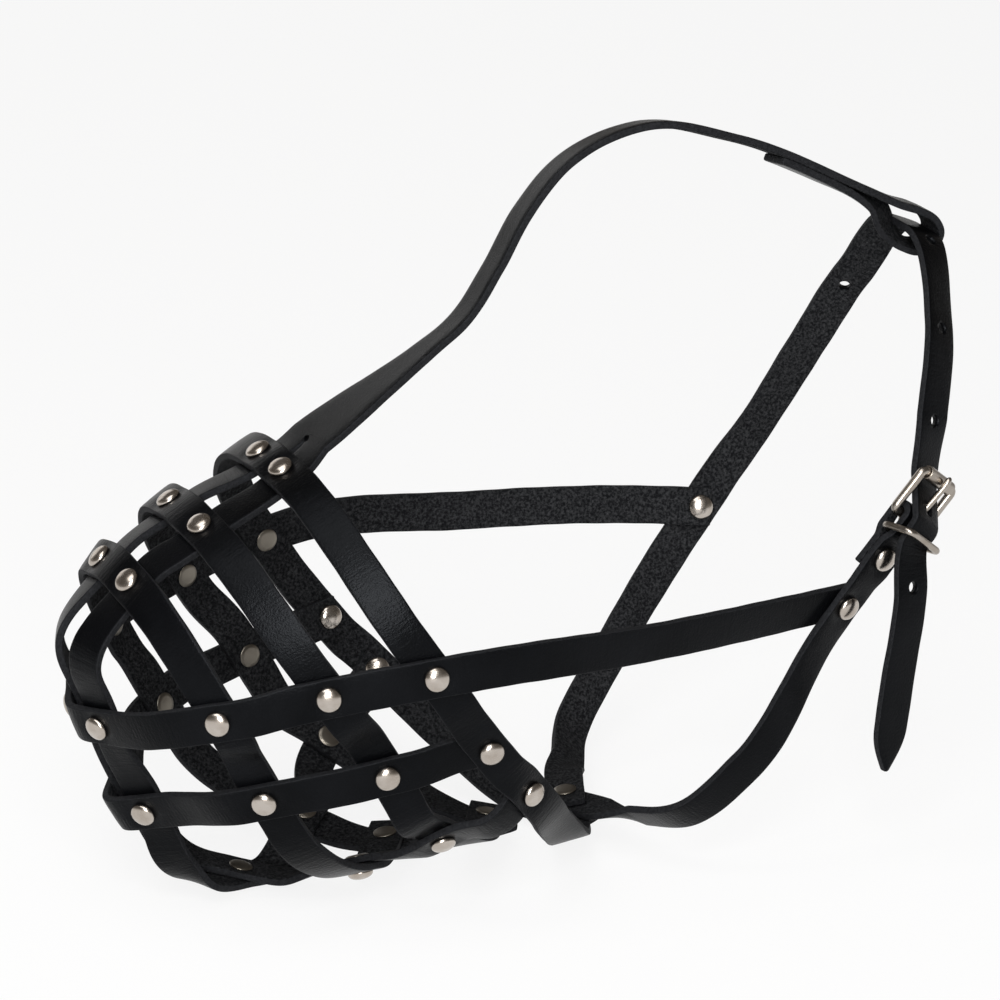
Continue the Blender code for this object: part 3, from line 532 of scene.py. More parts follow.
def faced(knots):
    """Knots of a planar line, each facing a quarter turn from its way."""
    for knot, way in zip(knots, knot_ways(knots)):
        knot.way = way
        knot.face = unit((way[2], 0.0, -way[0]))
    return knots


def forehead_line():
    """Planar line; face = the way turned a quarter in its plane, then leaned about the way itself.
    The lapped end repeats the stretch above it one layer further in, backwards, and twists away from
    it where the loop opens."""
    knots = [Knot((x, 0.0, z)) for x, z in LOOP[::-1] + FOREHEAD[::-1]] + [Knot(FORK)]
    outer = lay(faced(knots))
    start = outer.stops[len(LOOP) - 1][1]
    over = outer.at[(outer.reach >= start + LOOP_LAP_GAP) & (outer.at[:, 0] > LOOP_LAP_END)]
    ways = unit(np.gradient(over, axis=0))
    lap = over - np.stack((ways[:, 2], 0.0 * ways[:, 1], -ways[:, 0]), axis=1) * LOOP_LAP_RISE
    joint = hermite(lap[0], -ways[0], outer.at[0], outer.way[0])
    line = Line(np.vstack((lap[::-1], joint, outer.at)), [(0, OUTWARD)], [])
    line.face = np.stack((line.way[:, 2], 0.0 * line.reach, -line.way[:, 0]), axis=1)
    far = line.at[:, 0].max()
    share = np.sin(math.pi * (far - line.at[:, 0]) / (far - FORK[0]))
    lean = -FOREHEAD_LEAN * share * line.way[:, 0]
    turn = line.reach[len(lap) + len(joint)]
    lean = (lean + LOOP_LEAN * np.exp(-((line.reach - turn) / LOOP_LEAN_REACH) ** 2))[:, None]
    line.face = line.face * np.cos(lean) + np.cross(line.way, line.face) * np.sin(lean)
    line.across = np.cross(line.way, line.face)
    return line


lines["forehead"] = forehead_line()
print("forehead strap", round(float(lines["forehead"].reach[-1]), 1), "mm from lap end to fork")

# %% [markdown]
# A strap could be a plane with a Solidify modifier, but cut leather has softly rounded edges, a
# smooth grain face and a rough flesh face, and a shader has to know which is which. So a rounded
# rectangle is carried along the line, and every profile point remembers how much it belongs to the
# flesh face and how much to the cut edge. Both go into the mesh as attributes.

# %% Strap profile
CUT = 2.15
GRAIN_ROUND = 0.5
FLESH_ROUND = 0.3
FACE_POINTS = 13
CORNER_POINTS = 4


def strap_profile():
    """Rounded rectangle, clockwise from the left of the grain face: sign across and corner angle."""
    run = np.linspace(-1.0, 1.0, FACE_POINTS)
    turn = np.linspace(0.0, math.pi / 2, CORNER_POINTS + 1)
    ones = np.ones(CORNER_POINTS)
    quarter = math.pi / 2
    across = np.concatenate((run, ones, ones, (1.0,), run[::-1][1:], -ones, -ones))
    angle = np.concatenate((0 * run + quarter, quarter - turn[1:], -turn[:-1], (-quarter,),
                            0 * run[1:] - quarter, -quarter - turn[1:], -math.pi - turn[:-1]))
    up = np.concatenate((run * 0 + 1, ones, -ones, (-1.0,), -1 + 0 * run[1:], -ones, ones))
    return across, angle, up


PROFILE_ACROSS, PROFILE_ANGLE, PROFILE_SIDE = strap_profile()
PROFILE_UP = np.sin(PROFILE_ANGLE)
PROFILE_OUT = np.cos(PROFILE_ANGLE)
ON_GRAIN = np.clip(PROFILE_UP, 0.0, 1.0)
ON_FLESH = np.clip(-PROFILE_UP, 0.0, 1.0)
ON_RIM = np.abs(PROFILE_OUT)
print("profile points", len(PROFILE_ACROSS))

# %% [markdown]
# One helper puts a grid of points into a mesh. It takes the rings in order, joins each to the next
# and closes the ends, so every swept or turned piece below uses it.

# %% Grid to mesh
def grid_quads(rings, points, close_rings=False):
    """Corner numbers of the faces between neighbouring rings, with each ring closed on itself."""
    ring = np.arange(rings if close_rings else rings - 1)[:, None]
    point = np.arange(points)[None, :]
    after = (ring + 1) % rings
    beside = (point + 1) % points
    return np.stack((ring * points + point, ring * points + beside,
                     after * points + beside, after * points + point), axis=-1).reshape(-1, 4)


def end_fans(rings, points, start=0):
    """Corner numbers of the polygons that close the first and the last ring."""
    ring = np.arange(points) + start
    return [ring[::-1], (rings - 1) * points + ring]


def make_mesh(name, points, quads, fans, marks, stock=None):
    """Mesh in metres from millimetre points, quads, end polygons, point attributes and a UV per point."""
    counts = np.array([4] * len(quads) + [len(fan) for fan in fans], np.int32)
    corners = np.concatenate([np.asarray(quads).ravel()] + [np.asarray(fan) for fan in fans]).astype(np.int32)
    mesh = bpy.data.meshes.new(name)
    mesh.vertices.add(len(points))
    mesh.vertices.foreach_set("co", (points * MM + SHIFT).astype(np.float32).ravel())
    mesh.loops.add(len(corners))
    mesh.loops.foreach_set("vertex_index", corners)
    mesh.polygons.add(len(counts))
    mesh.polygons.foreach_set("loop_start", np.concatenate(((0,), np.cumsum(counts)[:-1])).astype(np.int32))
    mesh.polygons.foreach_set("use_smooth", counts == 4)
    for mark, values in marks.items():
        layer = mesh.attributes.new(mark, "FLOAT", "POINT")
        layer.data.foreach_set("value", np.asarray(values, np.float32).ravel())
    if stock is not None:
        layer = mesh.uv_layers.new(name="stock")
        layer.data.foreach_set("uv", stock[corners].astype(np.float32).ravel())
    mesh.validate()
    mesh.update()
    return mesh


print("quads of a 3 by 4 tube", len(grid_quads(3, 4)))

# %% [markdown]
# A rivet pulls the leather in, so the face dips in a ring round each cap. Cut edges are never quite
# straight and the stock is never quite even, so a few slow waves run along each strap. These are real
# moves of the surface, large enough to bend its highlights.

# %% Sweep a strap
DIMPLE = 0.42
DIMPLE_REST = 3.1
DIMPLE_FADE = 1.9
CROWN_DROP = 0.14
CROWN_CURVE = 3
EDGE_WAVE = 0.10
FACE_WAVE = 0.02
FACE_SKEW = 9.0
FACE_SEED = 0.5
END_ROUND = 0.3
CREASE_RADIUS = 12.0
WAVE_LENGTHS = np.array((61.0, 23.0, 11.0))
WAVE_STARTS = np.array((1.7, 3.1, 5.3))


def slow_wave(reach, seed):
    """Mean of three sines whose lengths share no common step; the seed moves their starts."""
    return np.mean(np.sin(2 * math.pi * reach[..., None] / WAVE_LENGTHS + seed * WAVE_STARTS), axis=-1)


def rivet_pull(reach, sideways, stops):
    """Largest over the rivets of depth * exp(-(distance past the cap's rest / fade) squared)."""
    pull = np.zeros(np.broadcast(reach, sideways).shape)
    for stop in stops:
        past = np.maximum(np.hypot(reach - stop, sideways) - DIMPLE_REST, 0.0)
        pull = np.maximum(pull, DIMPLE * np.exp(-(past / DIMPLE_FADE) ** 2))
    return pull


def sweep(left, right, face, reach, stops, seed, rounds=(1.0, 1.0)):
    """Point = middle + across * u + up * v, with (u, v) the rounded rectangle of that station."""
    middle, span = (left + right) / 2, np.linalg.norm(right - left, axis=1)
    across = unit(right - left)
    up = square_to(face, across)
    ways = unit(np.gradient(middle, axis=0))
    half = (span / 2)[:, None]
    share = (PROFILE_ACROSS + 1) / 2
    ease = [np.broadcast_to(np.asarray(amount, float), reach.shape)[:, None] for amount in rounds]
    ease = ease[0] * (1 - share) + ease[1] * share
    corner = np.minimum(np.where(PROFILE_SIDE > 0, GRAIN_ROUND, FLESH_ROUND) * ease, half)
    u = PROFILE_ACROSS * (half - corner) + corner * PROFILE_OUT
    u = u + PROFILE_ACROSS * EDGE_WAVE * ease * slow_wave(reach, seed)[:, None]
    wave = FACE_WAVE * slow_wave(reach[:, None] + FACE_SKEW * PROFILE_ACROSS * ease, seed + FACE_SEED)
    crown = CROWN_DROP * np.abs(PROFILE_ACROSS) ** CROWN_CURVE * ease
    v = PROFILE_SIDE * (CUT / 2 - corner) + corner * PROFILE_UP + wave
    v = v - ON_GRAIN * (rivet_pull(reach[:, None], u, stops[0]) + crown)
    v = v + ON_FLESH * rivet_pull(reach[:, None], u, stops[1])
    points = middle[:, None] + across[:, None] * u[..., None] + up[:, None] * v[..., None]
    ends = []
    for number, out in ((0, -END_ROUND), (-1, END_ROUND)):
        inset_u = u[number] * (1 - END_ROUND * ease[number] / max(half[number, 0], 2 * END_ROUND))
        inset_v = v[number] * (1 - 2 * END_ROUND / CUT)
        ends.append(middle[number] + ways[number] * out + across[number] * inset_u[:, None]
                    + up[number] * inset_v[:, None])
    points = np.concatenate((ends[0][None], points, ends[1][None]))
    longer = np.concatenate(((reach[0] - END_ROUND,), reach, (reach[-1] + END_ROUND,)))
    bend = np.linalg.norm(np.gradient(ways, axis=0), axis=1) / np.maximum(np.gradient(reach), STATION / 4)
    crease = np.pad(np.clip(bend * CREASE_RADIUS, 0.0, 1.0), 1, mode="edge")[:, None]
    shape = points.shape[:2]
    rim = np.broadcast_to(ON_RIM, shape).copy()
    rim[[0, -1]] = 1.0
    around = np.concatenate(((0.0,), np.cumsum(np.hypot(np.diff(u[1]), np.diff(v[1])))))
    stock = np.stack((np.broadcast_to(longer[:, None], shape), np.broadcast_to(around, shape)), axis=-1) * MM
    marks = {"flesh": np.broadcast_to(ON_FLESH, shape), "rim": rim, "crease": np.broadcast_to(crease, shape)}
    return points, marks, stock


def strap_mesh(name, swept):
    points, marks, stock = swept
    rows, ring = points.shape[:2]
    fans = end_fans(rows, ring)
    return make_mesh(name, points.reshape(-1, 3), grid_quads(rows, ring), fans, marks, stock.reshape(-1, 2))


STACKS = {"rear_keel": 4}
PAIR = 2


def rivet_stops(line):
    """Reaches of the rivets whose cap lies on the strap's grain face, and of those on its flesh face."""
    found = ([], [])
    for knot, reach in line.stops:
        if knot.rivet:
            outermost = (STACKS.get(knot.rivet, PAIR) - 1) / 2
            layer = knot.layer * knot.turned
            if abs(layer) == outermost:
                found[0 if layer > 0 else 1].append(reach)
    return found


def swept_strap(name, seed, half=HALF_WIDTH):
    """One strap shown along its own line, with half its width to each side."""
    line = lines[name]
    edge = line.across * half
    swept = sweep(line.at - edge, line.at + edge, line.face, line.reach, rivet_stops(line), seed)
    return show(name + "_leather", strap_mesh(name, swept))


pieces = {}
SEEDS = {"front_hoop": 1, "middle_hoop": 2, "rear_hoop": 3, "upper_side_strap": 4, "lower_side_strap": 5}
for name, seed in SEEDS.items():
    pieces[name] = swept_strap(name, seed)
print({name: len(item.data.polygons) for name, item in pieces.items()})

# %% [markdown]
# The forehead strap is one piece of leather slit from the nose back to the fork. It is made as two
# strips side by side: up to the fork they share the middle line, so their inner walls are left out
# and the points there are merged, and past it each goes its own way. A small round stop hole ends the
# slit, as a saddler punches one to keep it from tearing.

# %% Forked strap
FOREHEAD_TAPER = 45.0
FORK_FADE = 14.0
STOP_HOLE = 1.1
SLIT_OPENING = 3.0
MERGE = 0.004
FORK_SEED = 7.0


def forked_half(sign, prong):
    """Edge lines of one strip: middle line and outer edge to the fork, then both edges of the prong."""
    line = lines["forehead"]
    share = np.clip(1 - (line.reach[-1] - line.reach) / FOREHEAD_TAPER, 0.0, 1.0)
    half = HALF_WIDTH * (1 + share * share * (3 - 2 * share))
    toward = np.sign(line.across[-1, 1]) * sign
    outer = line.at + line.across * (toward * half)[:, None]
    edge = prong.across * HALF_WIDTH * np.sign(prong.across[0, 1]) * sign
    t = np.clip(prong.reach / FORK_FADE, 0.0, 1.0)[:, None]
    fade = (1 - t) ** 2 * (1 + 2 * t)
    prong_outer = prong.at + edge
    prong_inner = prong.at - edge
    prong_outer = prong_outer + (outer[-1] - prong_outer[0]) * fade
    prong_inner = prong_inner + (line.at[-1] - prong_inner[0]) * fade
    hole = np.sqrt(np.maximum(STOP_HOLE**2 - (prong.reach - STOP_HOLE) ** 2, 0.0))[:, None]
    prong_inner = prong_inner + unit(prong_outer - prong_inner) * hole
    face = np.vstack((line.face, unit(prong.face * (1 - fade) + line.face[-1] * fade)[1:]))
    reach = np.concatenate((line.reach, line.reach[-1] + prong.reach[1:]))
    return np.vstack((outer, prong_outer[1:])), np.vstack((line.at, prong_inner[1:])), face, reach, toward


def forked_strap():
    """Both strips in one grid list, without the walls along the middle line before the fork."""
    total, fork = lines["forehead"].reach[-1], len(lines["forehead"].reach)
    points, marks, stock, quads, fans, count = [], [], [], [], [], 0
    for side, sign in SIDES.items():
        prong = lines[f"{side}_prong"]
        outer, inner, face, reach, toward = forked_half(sign, prong)
        opening = np.clip((reach - total) / SLIT_OPENING, 0.0, 1.0)
        edges, rounds = ((outer, inner), (1.0, opening)) if toward < 0 else ((inner, outer), (opening, 1.0))
        stops = [[total + stop for stop in group] for group in rivet_stops(prong)]
        grid, grid_marks, grid_stock = sweep(*edges, face, reach, stops, FORK_SEED, rounds)
        rows, ring = grid.shape[:2]
        corners = grid_quads(rows, ring)
        inside = PROFILE_ACROSS * toward == -1.0
        parted = np.where(inside, np.pad(opening, 1, mode="edge")[:, None], 1.0)
        grid_marks["rim"] = grid_marks["rim"] * parted
        grid_marks["flesh"] = grid_marks["flesh"] * parted + (PROFILE_SIDE < 0) * (1 - parted)
        wall = (inside & np.roll(inside, -1))[corners[:, 0] % ring] & (corners[:, 0] // ring < fork)
        quads.append(corners[~wall] + count)
        fans += end_fans(rows, ring, count)
        points.append(grid.reshape(-1, 3))
        marks.append(grid_marks)
        stock.append(grid_stock.reshape(-1, 2))
        count += rows * ring
    joined = {key: np.concatenate([mark[key].ravel() for mark in marks]) for key in marks[0]}
    return make_mesh("forehead_strap", np.vstack(points), np.vstack(quads), fans, joined, np.vstack(stock))


def merge_points(mesh, distance):
    work = bmesh.new()
    work.from_mesh(mesh)
    bmesh.ops.remove_doubles(work, verts=work.verts, dist=distance * MM)
    work.to_mesh(mesh)
    work.free()


fork_mesh = forked_strap()
merge_points(fork_mesh, MERGE)
pieces["forehead_strap"] = show("forehead_strap_leather", fork_mesh)
print("forehead strap faces", len(fork_mesh.polygons))

# %% [markdown]
# The neck strap narrows to a point and has a row of punched holes. A hole could be a dark spot in the
# shader, but daylight shows through a real one and its wall is a cut edge, so each is cut through with
# a Boolean. The cutters carry the cut-edge attribute, so the new walls get the right finish.

# %% Cutters
PUNCH = 3.2
PUNCH_PITCH = 25.25
PUNCH_START = 3.4
PUNCHES_BELOW = 1
PUNCHES_ABOVE = 5
HOLE_SIDES = 28
POINT_TIP = 1.6


def peg(middle, way, diameter, length, side, stretch=1.0):
    """Two rings of a cylinder: middle + (side * stretch * cos + up * sin) * radius, at both ends."""
    side = square_to(side, way)
    up = np.cross(way, side)
    angle = np.linspace(0.0, 2 * math.pi, HOLE_SIDES, endpoint=False)[:, None]
    ring = (side * np.cos(angle) * stretch + up * np.sin(angle)) * diameter / 2
    return np.stack((middle - way * length / 2 + ring, middle + way * length / 2 + ring))


def cutter_mesh(name, pegs):
    points = np.vstack([rings.reshape(-1, 3) for rings in pegs])
    size = 2 * HOLE_SIDES
    quads = np.vstack([grid_quads(2, HOLE_SIDES) + i * size for i in range(len(pegs))])
    fans = []
    for i in range(len(pegs)):
        fans += end_fans(2, HOLE_SIDES, i * size)
    ones = np.ones(len(points))
    marks = {"flesh": 0 * ones, "rim": ones, "crease": 0 * ones}
    return make_mesh(name, points, quads, fans, marks, np.zeros((len(points), 2)))


def cut(item, cutters):
    """Boolean difference with each cutter in turn; the result becomes the piece's own mesh. The solver
    also sorts out a tight bend where a strap's inner face meets itself."""
    helpers = []
    for mesh in cutters:
        helper = show("cutter", mesh)
        change = item.modifiers.new("cut", "BOOLEAN")
        change.operation, change.solver, change.object = "DIFFERENCE", "EXACT", helper
        change.use_self = True
        helpers.append(helper)
    graph = bpy.context.evaluated_depsgraph_get()
    result = bpy.data.meshes.new_from_object(item.evaluated_get(graph))
    item.modifiers.clear()
    item.data = result
    for helper in helpers:
        bpy.data.objects.remove(helper, do_unlink=True)


print("cutter sides", HOLE_SIDES)

# %% [markdown]
# The tongue's own hole is cut along the tongue, once for each of a few lifts, so that it clears the
# leather on its whole way. The buckle strap has a long slot where the fold lets the tongue out.

# %% Neck and buckle straps
NECK_SEED = 8.0
BUCKLE_SEED = 9.0
CUT_THROUGH = 4
TONGUE_WIRE = 1.8
TONGUE_HOLE = 4.3
TONGUE_SLOT = 4.6
SLOT_STRETCH = 2.6
HEEL_RISE = BUCKLE_WIRE / 2 + WIRE_PLAY + TONGUE_WIRE / 2
ROLLER_RISE = ROLLER_SKIN + SEAT_GAP + TONGUE_WIRE / 2
TONGUE_LIFTS = [math.radians(lift) for lift in (0.0, 5.0, 10.0, 15.0)]


def local(points):
    """Points given along, across and out of the buckle, as places in the maker's frame."""
    return HEEL + np.asarray(points, float) @ np.stack((ALONG, WIDTH, OUTWARD))


def neck_strap():
    """Half width = half the tip + what is left * sine of a quarter turn * the share of the point's length.
    The holes lie one pitch apart, counted from the hole in use, and the free ones above it start later."""
    line = lines["neck_strap"]
    share = np.clip((line.reach[-1] - line.reach) / POINT_LENGTH, 0.0, 1.0)
    half = POINT_TIP / 2 + (HALF_WIDTH - POINT_TIP / 2) * np.sin(share * math.pi / 2)
    item = swept_strap("neck_strap", NECK_SEED, half[:, None])
    in_use = line.stops[FOOT_KNOT][1] - TONGUE_HOLE
    pegs = []
    for count in range(-PUNCHES_ABOVE, PUNCHES_BELOW + 1):
        if count:
            start = PUNCH_START if count < 0 else 0.0
            at, way, face = line.where(in_use + start + count * PUNCH_PITCH)
            pegs.append(peg(at, face, PUNCH, CUT_THROUGH * CUT, way))
    slope = math.atan2(ROLLER_RISE - HEEL_RISE, BUCKLE_LENGTH)
    slanted = []
    for lift in TONGUE_LIFTS:
        way = local((math.cos(slope + lift), 0.0, math.sin(slope + lift))) - HEEL
        start = local((-HEEL_RISE * math.sin(lift), 0.0, HEEL_RISE * math.cos(lift)))
        middle = start + way * BUCKLE_LENGTH / 2
        slanted.append(peg(middle, way, TONGUE_WIRE + 2 * SEAT_GAP, BUCKLE_LENGTH, WIDTH))
    cut(item, [cutter_mesh("punch", pegs)] + [cutter_mesh("tongue_hole", [one]) for one in slanted])
    return item


def buckle_strap():
    item = swept_strap("buckle_strap", BUCKLE_SEED)
    slot = peg(HEEL, OUTWARD, TONGUE_SLOT, CUT_THROUGH * (FOLD_RADIUS + CUT), ALONG, SLOT_STRETCH)
    cut(item, [cutter_mesh("slot", [slot])])
    return item


pieces["neck_strap"] = neck_strap()
pieces["buckle_strap"] = buckle_strap()
print("neck strap faces", len(pieces["neck_strap"].data.polygons))

# %% [markdown]
# Rivets are turned shapes: one half profile carried round the axis. The outer cap is a polished dome
# with a tucked-under lip that sits in the dimple. The inner cap is flatter, with a thin raised ring,
# except on three far rivets, which are domed inside too. A sphere cut in half would miss the lip, and
# the lip is what draws the dark line round each cap.

# %% Rivets
RIVET_CAP = 6.8
RIVET_DOME = 2.25
RIVET_LIP = 0.45
INNER_CAP = 6.4
INNER_DOME = 1.0
RIVET_SHANK = 2.8
RIVET_ROUND = 48
CAP_SINK = 0.12
CROWN_STEPS = 15
CROWN_POWER = 0.9
LIP_STEPS = 7
INNER_RING = 0.12
RING_AT = 0.72
RING_WIDTH = 0.10
TURN_START = np.array((0.31, 0.87, 0.41))
DOMED_INSIDE = ("rear_lower_right", "rear_bilge_right", "cheek_right")


def cap_profile(radius, dome, seat, ring):
    """Half profile from the crown: an ellipse to the lip, a half-round lip, then in under the cap."""
    arc = np.linspace(0.0, math.pi / 2, CROWN_STEPS)
    raised = 1.0 + ring * np.exp(-((np.sin(arc) - RING_AT) / RING_WIDTH) ** 2)
    height = seat + RIVET_LIP + (dome - RIVET_LIP) * np.cos(arc) ** CROWN_POWER * raised
    crown = np.stack((radius * np.sin(arc), height), axis=1)
    lip = np.linspace(0.0, math.pi, LIP_STEPS)[1:]
    half = RIVET_LIP / 2
    tuck = np.stack((radius - half + half * np.cos(lip),
                     seat + half - half * np.sin(lip) + half * np.cos(lip)), axis=1)
    return np.vstack((crown, tuck))


def rivet_profile(layers, domed):
    """Outer cap, shank and inner cap as one closed half profile, from crown to crown."""
    seat = ((layers - 1) * LAYER + CUT) / 2 - DIMPLE - CAP_SINK
    outer = cap_profile(RIVET_CAP / 2, RIVET_DOME, seat, 0.0)
    inner = outer if domed else cap_profile(INNER_CAP / 2, INNER_DOME, seat, INNER_RING)
    inner = inner[::-1] * (1.0, -1.0)
    shank = np.array(((RIVET_SHANK / 2, seat), (RIVET_SHANK / 2, -seat)))
    return np.vstack((outer, shank, inner))


def turned(profile, middle, axis):
    """Point = middle + (side * cos + up * sin) * radius + axis * height, with the two poles merged."""
    side = square_to(TURN_START, axis)
    up = np.cross(axis, side)
    angle = np.linspace(0.0, 2 * math.pi, RIVET_ROUND, endpoint=False)[:, None]
    ring = side * np.cos(angle) + up * np.sin(angle)
    return middle + ring[None, ::-1] * profile[:, None, :1] + axis * profile[:, None, 1:]


def rivet(name):
    domed = name in DOMED_INSIDE
    profile = rivet_profile(STACKS.get(name, PAIR), domed)
    grid = turned(profile, places[name], faces[name])
    rows = len(grid)
    # Painted shade: the inner mask darkens the nickel colour on the flat inner caps.
    inner = {"inner": np.broadcast_to((profile[:, 1] < 0)[:, None] & (not domed), (rows, RIVET_ROUND))}
    mesh = make_mesh("rivet_" + name, grid.reshape(-1, 3), grid_quads(rows, RIVET_ROUND), (), inner)
    merge_points(mesh, MERGE)
    return show(f"rivet_{name}_cap", mesh)


for name in places:
    pieces["rivet_" + name] = rivet(name)
print("rivets", len(places), "faces each", len(pieces["rivet_fold"].data.polygons))

# %% [markdown]
# The buckle frame, the keeper ring and the tongue are bent from round wire, so a circle is carried
# along a flat path. In a plane the circle needs no twist control: one axis is the path's own normal
# and the other is the normal of the plane.

# %% Bent wire
WIRE_ROUND = 20
# Painted shade: the share of the darker inner colour that the wires get.
WIRE_PAINTED_SHADE = 0.4
CORNER_STEPS = 9
SIDE_STEPS = 12


def rounded_loop(low, high, half, corner):
    """Rectangle with round corners: four quarter circles joined by straight runs, as (x, y) rows."""
    centres = ((high - corner, half - corner), (low + corner, half - corner),
               (low + corner, corner - half), (high - corner, corner - half))
    rows = []
    for quarter, centre in enumerate(centres):
        angle = math.pi / 2 * (quarter + np.linspace(0.0, 1.0, CORNER_STEPS + 1))
        rows.append(centre + corner * np.stack((np.cos(angle), np.sin(angle)), axis=1))
    joined = []
    for row, after in zip(rows, rows[1:] + rows[:1]):
        t = np.linspace(0.0, 1.0, SIDE_STEPS + 1)[1:-1, None]
        joined += [row, row[-1] * (1 - t) + after[0] * t]
    return np.vstack(joined)


def carried_circle(path, plane, radius, closed):
    """Point = path + (normal in the plane * cos + plane normal * sin) * radius at that station."""
    if closed:
        ways = unit(np.roll(path, -1, axis=0) - np.roll(path, 1, axis=0))
    else:
        ways = unit(np.gradient(path, axis=0))
    plane = unit(plane)
    side = unit(np.cross(ways, plane))
    angle = np.linspace(0.0, 2 * math.pi, WIRE_ROUND, endpoint=False)
    radius = np.broadcast_to(np.asarray(radius, float), (len(path),))[:, None, None]
    ring = side[:, None] * np.cos(angle)[:, None] + plane * np.sin(angle)[:, None]
    return path[:, None] + ring * radius


def wire_mesh(name, grid, closed):
    rows, ring = grid.shape[:2]
    fans = () if closed else end_fans(rows, ring)
    # Painted shade on the wires, through the inner mask.
    shaded = {"inner": np.full((rows, ring), WIRE_PAINTED_SHADE)}
    return make_mesh(name, grid.reshape(-1, 3), grid_quads(rows, ring, closed), fans, shaded)


STRAP_ROOM = 1.0
BUCKLE_HALF = HALF_WIDTH + STRAP_ROOM + BUCKLE_WIRE / 2
BUCKLE_CORNER = 1.3
KEEPER_ROOM = 0.9
KEEPER_WIRE = 1.9
KEEPER_TILT = math.radians(16.0)


def buckle_frame():
    flat = rounded_loop(0.0, BUCKLE_LENGTH, BUCKLE_HALF, BUCKLE_CORNER)
    path = local(np.column_stack((flat, 0.0 * flat[:, 0])))
    return wire_mesh("buckle_frame", carried_circle(path, OUTWARD, BUCKLE_WIRE / 2, True), True)


def keeper_ring():
    """Depth = rise of the strap in it + half the leather + room + half the wire; it leans by the tilt."""
    depth = KEEPER_RISE + LEATHER / 2 + STRAP_ROOM + KEEPER_WIRE / 2
    half = HALF_WIDTH + KEEPER_ROOM + KEEPER_WIRE / 2
    flat = rounded_loop(0.0, depth, half, KEEPER_WIRE)
    x = flat[:, 0] * math.sin(KEEPER_TILT) - KEEPER_SEAT
    path = local(np.stack((x, flat[:, 1], flat[:, 0] * math.cos(KEEPER_TILT)), axis=1))
    plane = ALONG * math.cos(KEEPER_TILT) - OUTWARD * math.sin(KEEPER_TILT)
    return wire_mesh("keeper_ring", carried_circle(path, plane, KEEPER_WIRE / 2, True), True)


pieces["buckle_frame"] = show("buckle_frame_wire", buckle_frame())
pieces["keeper_ring"] = show("keeper_ring_wire", keeper_ring())
print("frame faces", len(pieces["buckle_frame"].data.polygons))

# %% [markdown]
# The tongue hooks round the heel bar and rests on the roller; its wire thins to a rounded tip. The
# roller is a strip of sheet metal rolled into a tube, so it has an open seam along its length. It is
# a rounded rectangle turned round the end bar, stopped just short of a full turn.

# %% Tongue and roller
HOOK_TURN = math.radians(270.0)
HOOK_STEPS = 40
SHANK_START = 0.4
SHANK_STEPS = 24
BEND_BEFORE = 1.0
BEND_START = 0.7
BEND_STEPS = 14
TONGUE_OVERHANG = 2.6
TONGUE_DIP = 0.55
TIP_POWER = 2.6
TIP_LEAST = 0.02
ROLLER_BORE = BUCKLE_WIRE / 2 + WIRE_PLAY
ROLLER_END_PLAY = 0.4
ROLLER_HALF = BUCKLE_HALF - BUCKLE_CORNER - ROLLER_END_PLAY
ROLLER_SEAM = math.radians(7.0)
ROLLER_SEAM_AT = math.radians(200.0)
ROLLER_STEPS = 64
ROLLER_EASE = 0.22


def tongue():
    """Arc round the heel bar, a straight shank, a bend over the roller; radius closes as an ellipse."""
    angle = math.pi / 2 + HOOK_TURN * (1 - np.linspace(0.0, 1.0, HOOK_STEPS))
    hook = np.stack((HEEL_RISE * np.cos(angle), HEEL_RISE * np.sin(angle)), axis=1)
    shank = np.linspace(SHANK_START, BUCKLE_LENGTH - BEND_BEFORE, SHANK_STEPS)
    bend = np.linspace(BUCKLE_LENGTH - BEND_START, BUCKLE_LENGTH + TONGUE_OVERHANG, BEND_STEPS)
    x = np.concatenate((shank, bend))
    over = np.clip((x - BUCKLE_LENGTH + BEND_BEFORE) / (TONGUE_OVERHANG + BEND_BEFORE), 0.0, 1.0)
    z = HEEL_RISE + (ROLLER_RISE - HEEL_RISE) * x / BUCKLE_LENGTH - TONGUE_DIP * over**2
    flat = np.vstack((hook, np.stack((x, z), axis=1)))
    reach = reach_along(flat)
    left = np.clip((reach[-1] - reach) / TONGUE_WIRE, 0.0, 1.0)
    radius = TONGUE_WIRE / 2 * np.sqrt(np.maximum(1 - (1 - left) ** TIP_POWER, TIP_LEAST))
    path = local(np.stack((flat[:, 0], 0.0 * reach, flat[:, 1]), axis=1))
    return wire_mesh("tongue", carried_circle(path, WIDTH, radius, False), False)


def roller():
    """Rounded rectangle between bore and skin, turned round the end bar from seam edge to seam edge."""
    wall = (ROLLER_SKIN - ROLLER_BORE) / 2
    flat = rounded_loop(-ROLLER_HALF, ROLLER_HALF, wall, ROLLER_EASE)
    round_seam = np.linspace(ROLLER_SEAM / 2, 2 * math.pi - ROLLER_SEAM / 2, ROLLER_STEPS)
    angle = round_seam[:, None] + ROLLER_SEAM_AT
    radius = (ROLLER_SKIN + ROLLER_BORE) / 2 + flat[:, 1]
    across = np.broadcast_to(flat[:, 0], (ROLLER_STEPS, len(flat)))
    rows = np.stack((BUCKLE_LENGTH + radius * np.cos(angle), across, radius * np.sin(angle)), axis=-1)
    return wire_mesh("roller", local(rows), False)


pieces["tongue"] = show("tongue_wire", tongue())
pieces["roller"] = show("roller_tube", roller())


def outward_faces(item):
    """Recalculate the normals of a closed mesh and report its signed volume in cubic millimetres."""
    work = bmesh.new()
    work.from_mesh(item.data)
    bmesh.ops.recalc_face_normals(work, faces=work.faces)
    volume = work.calc_volume(signed=True)
    open_edges = sum(not edge.is_manifold for edge in work.edges)
    work.to_mesh(item.data)
    work.free()
    return round(volume / MM**3, 1), open_edges


solid = {name: outward_faces(item) for name, item in pieces.items()}
print("volume and open edges of a rivet", solid["rivet_fold"])
print({name: value for name, value in solid.items() if not name.startswith("rivet")})

# %% [markdown]
# Shader sums are easier to read as Python. One small class wraps a socket and turns an operator into a
# Math node, and one method makes any other node from its type, its settings and its sockets.

# %% Shader helper
BUMP_DEPTH = 0.0002


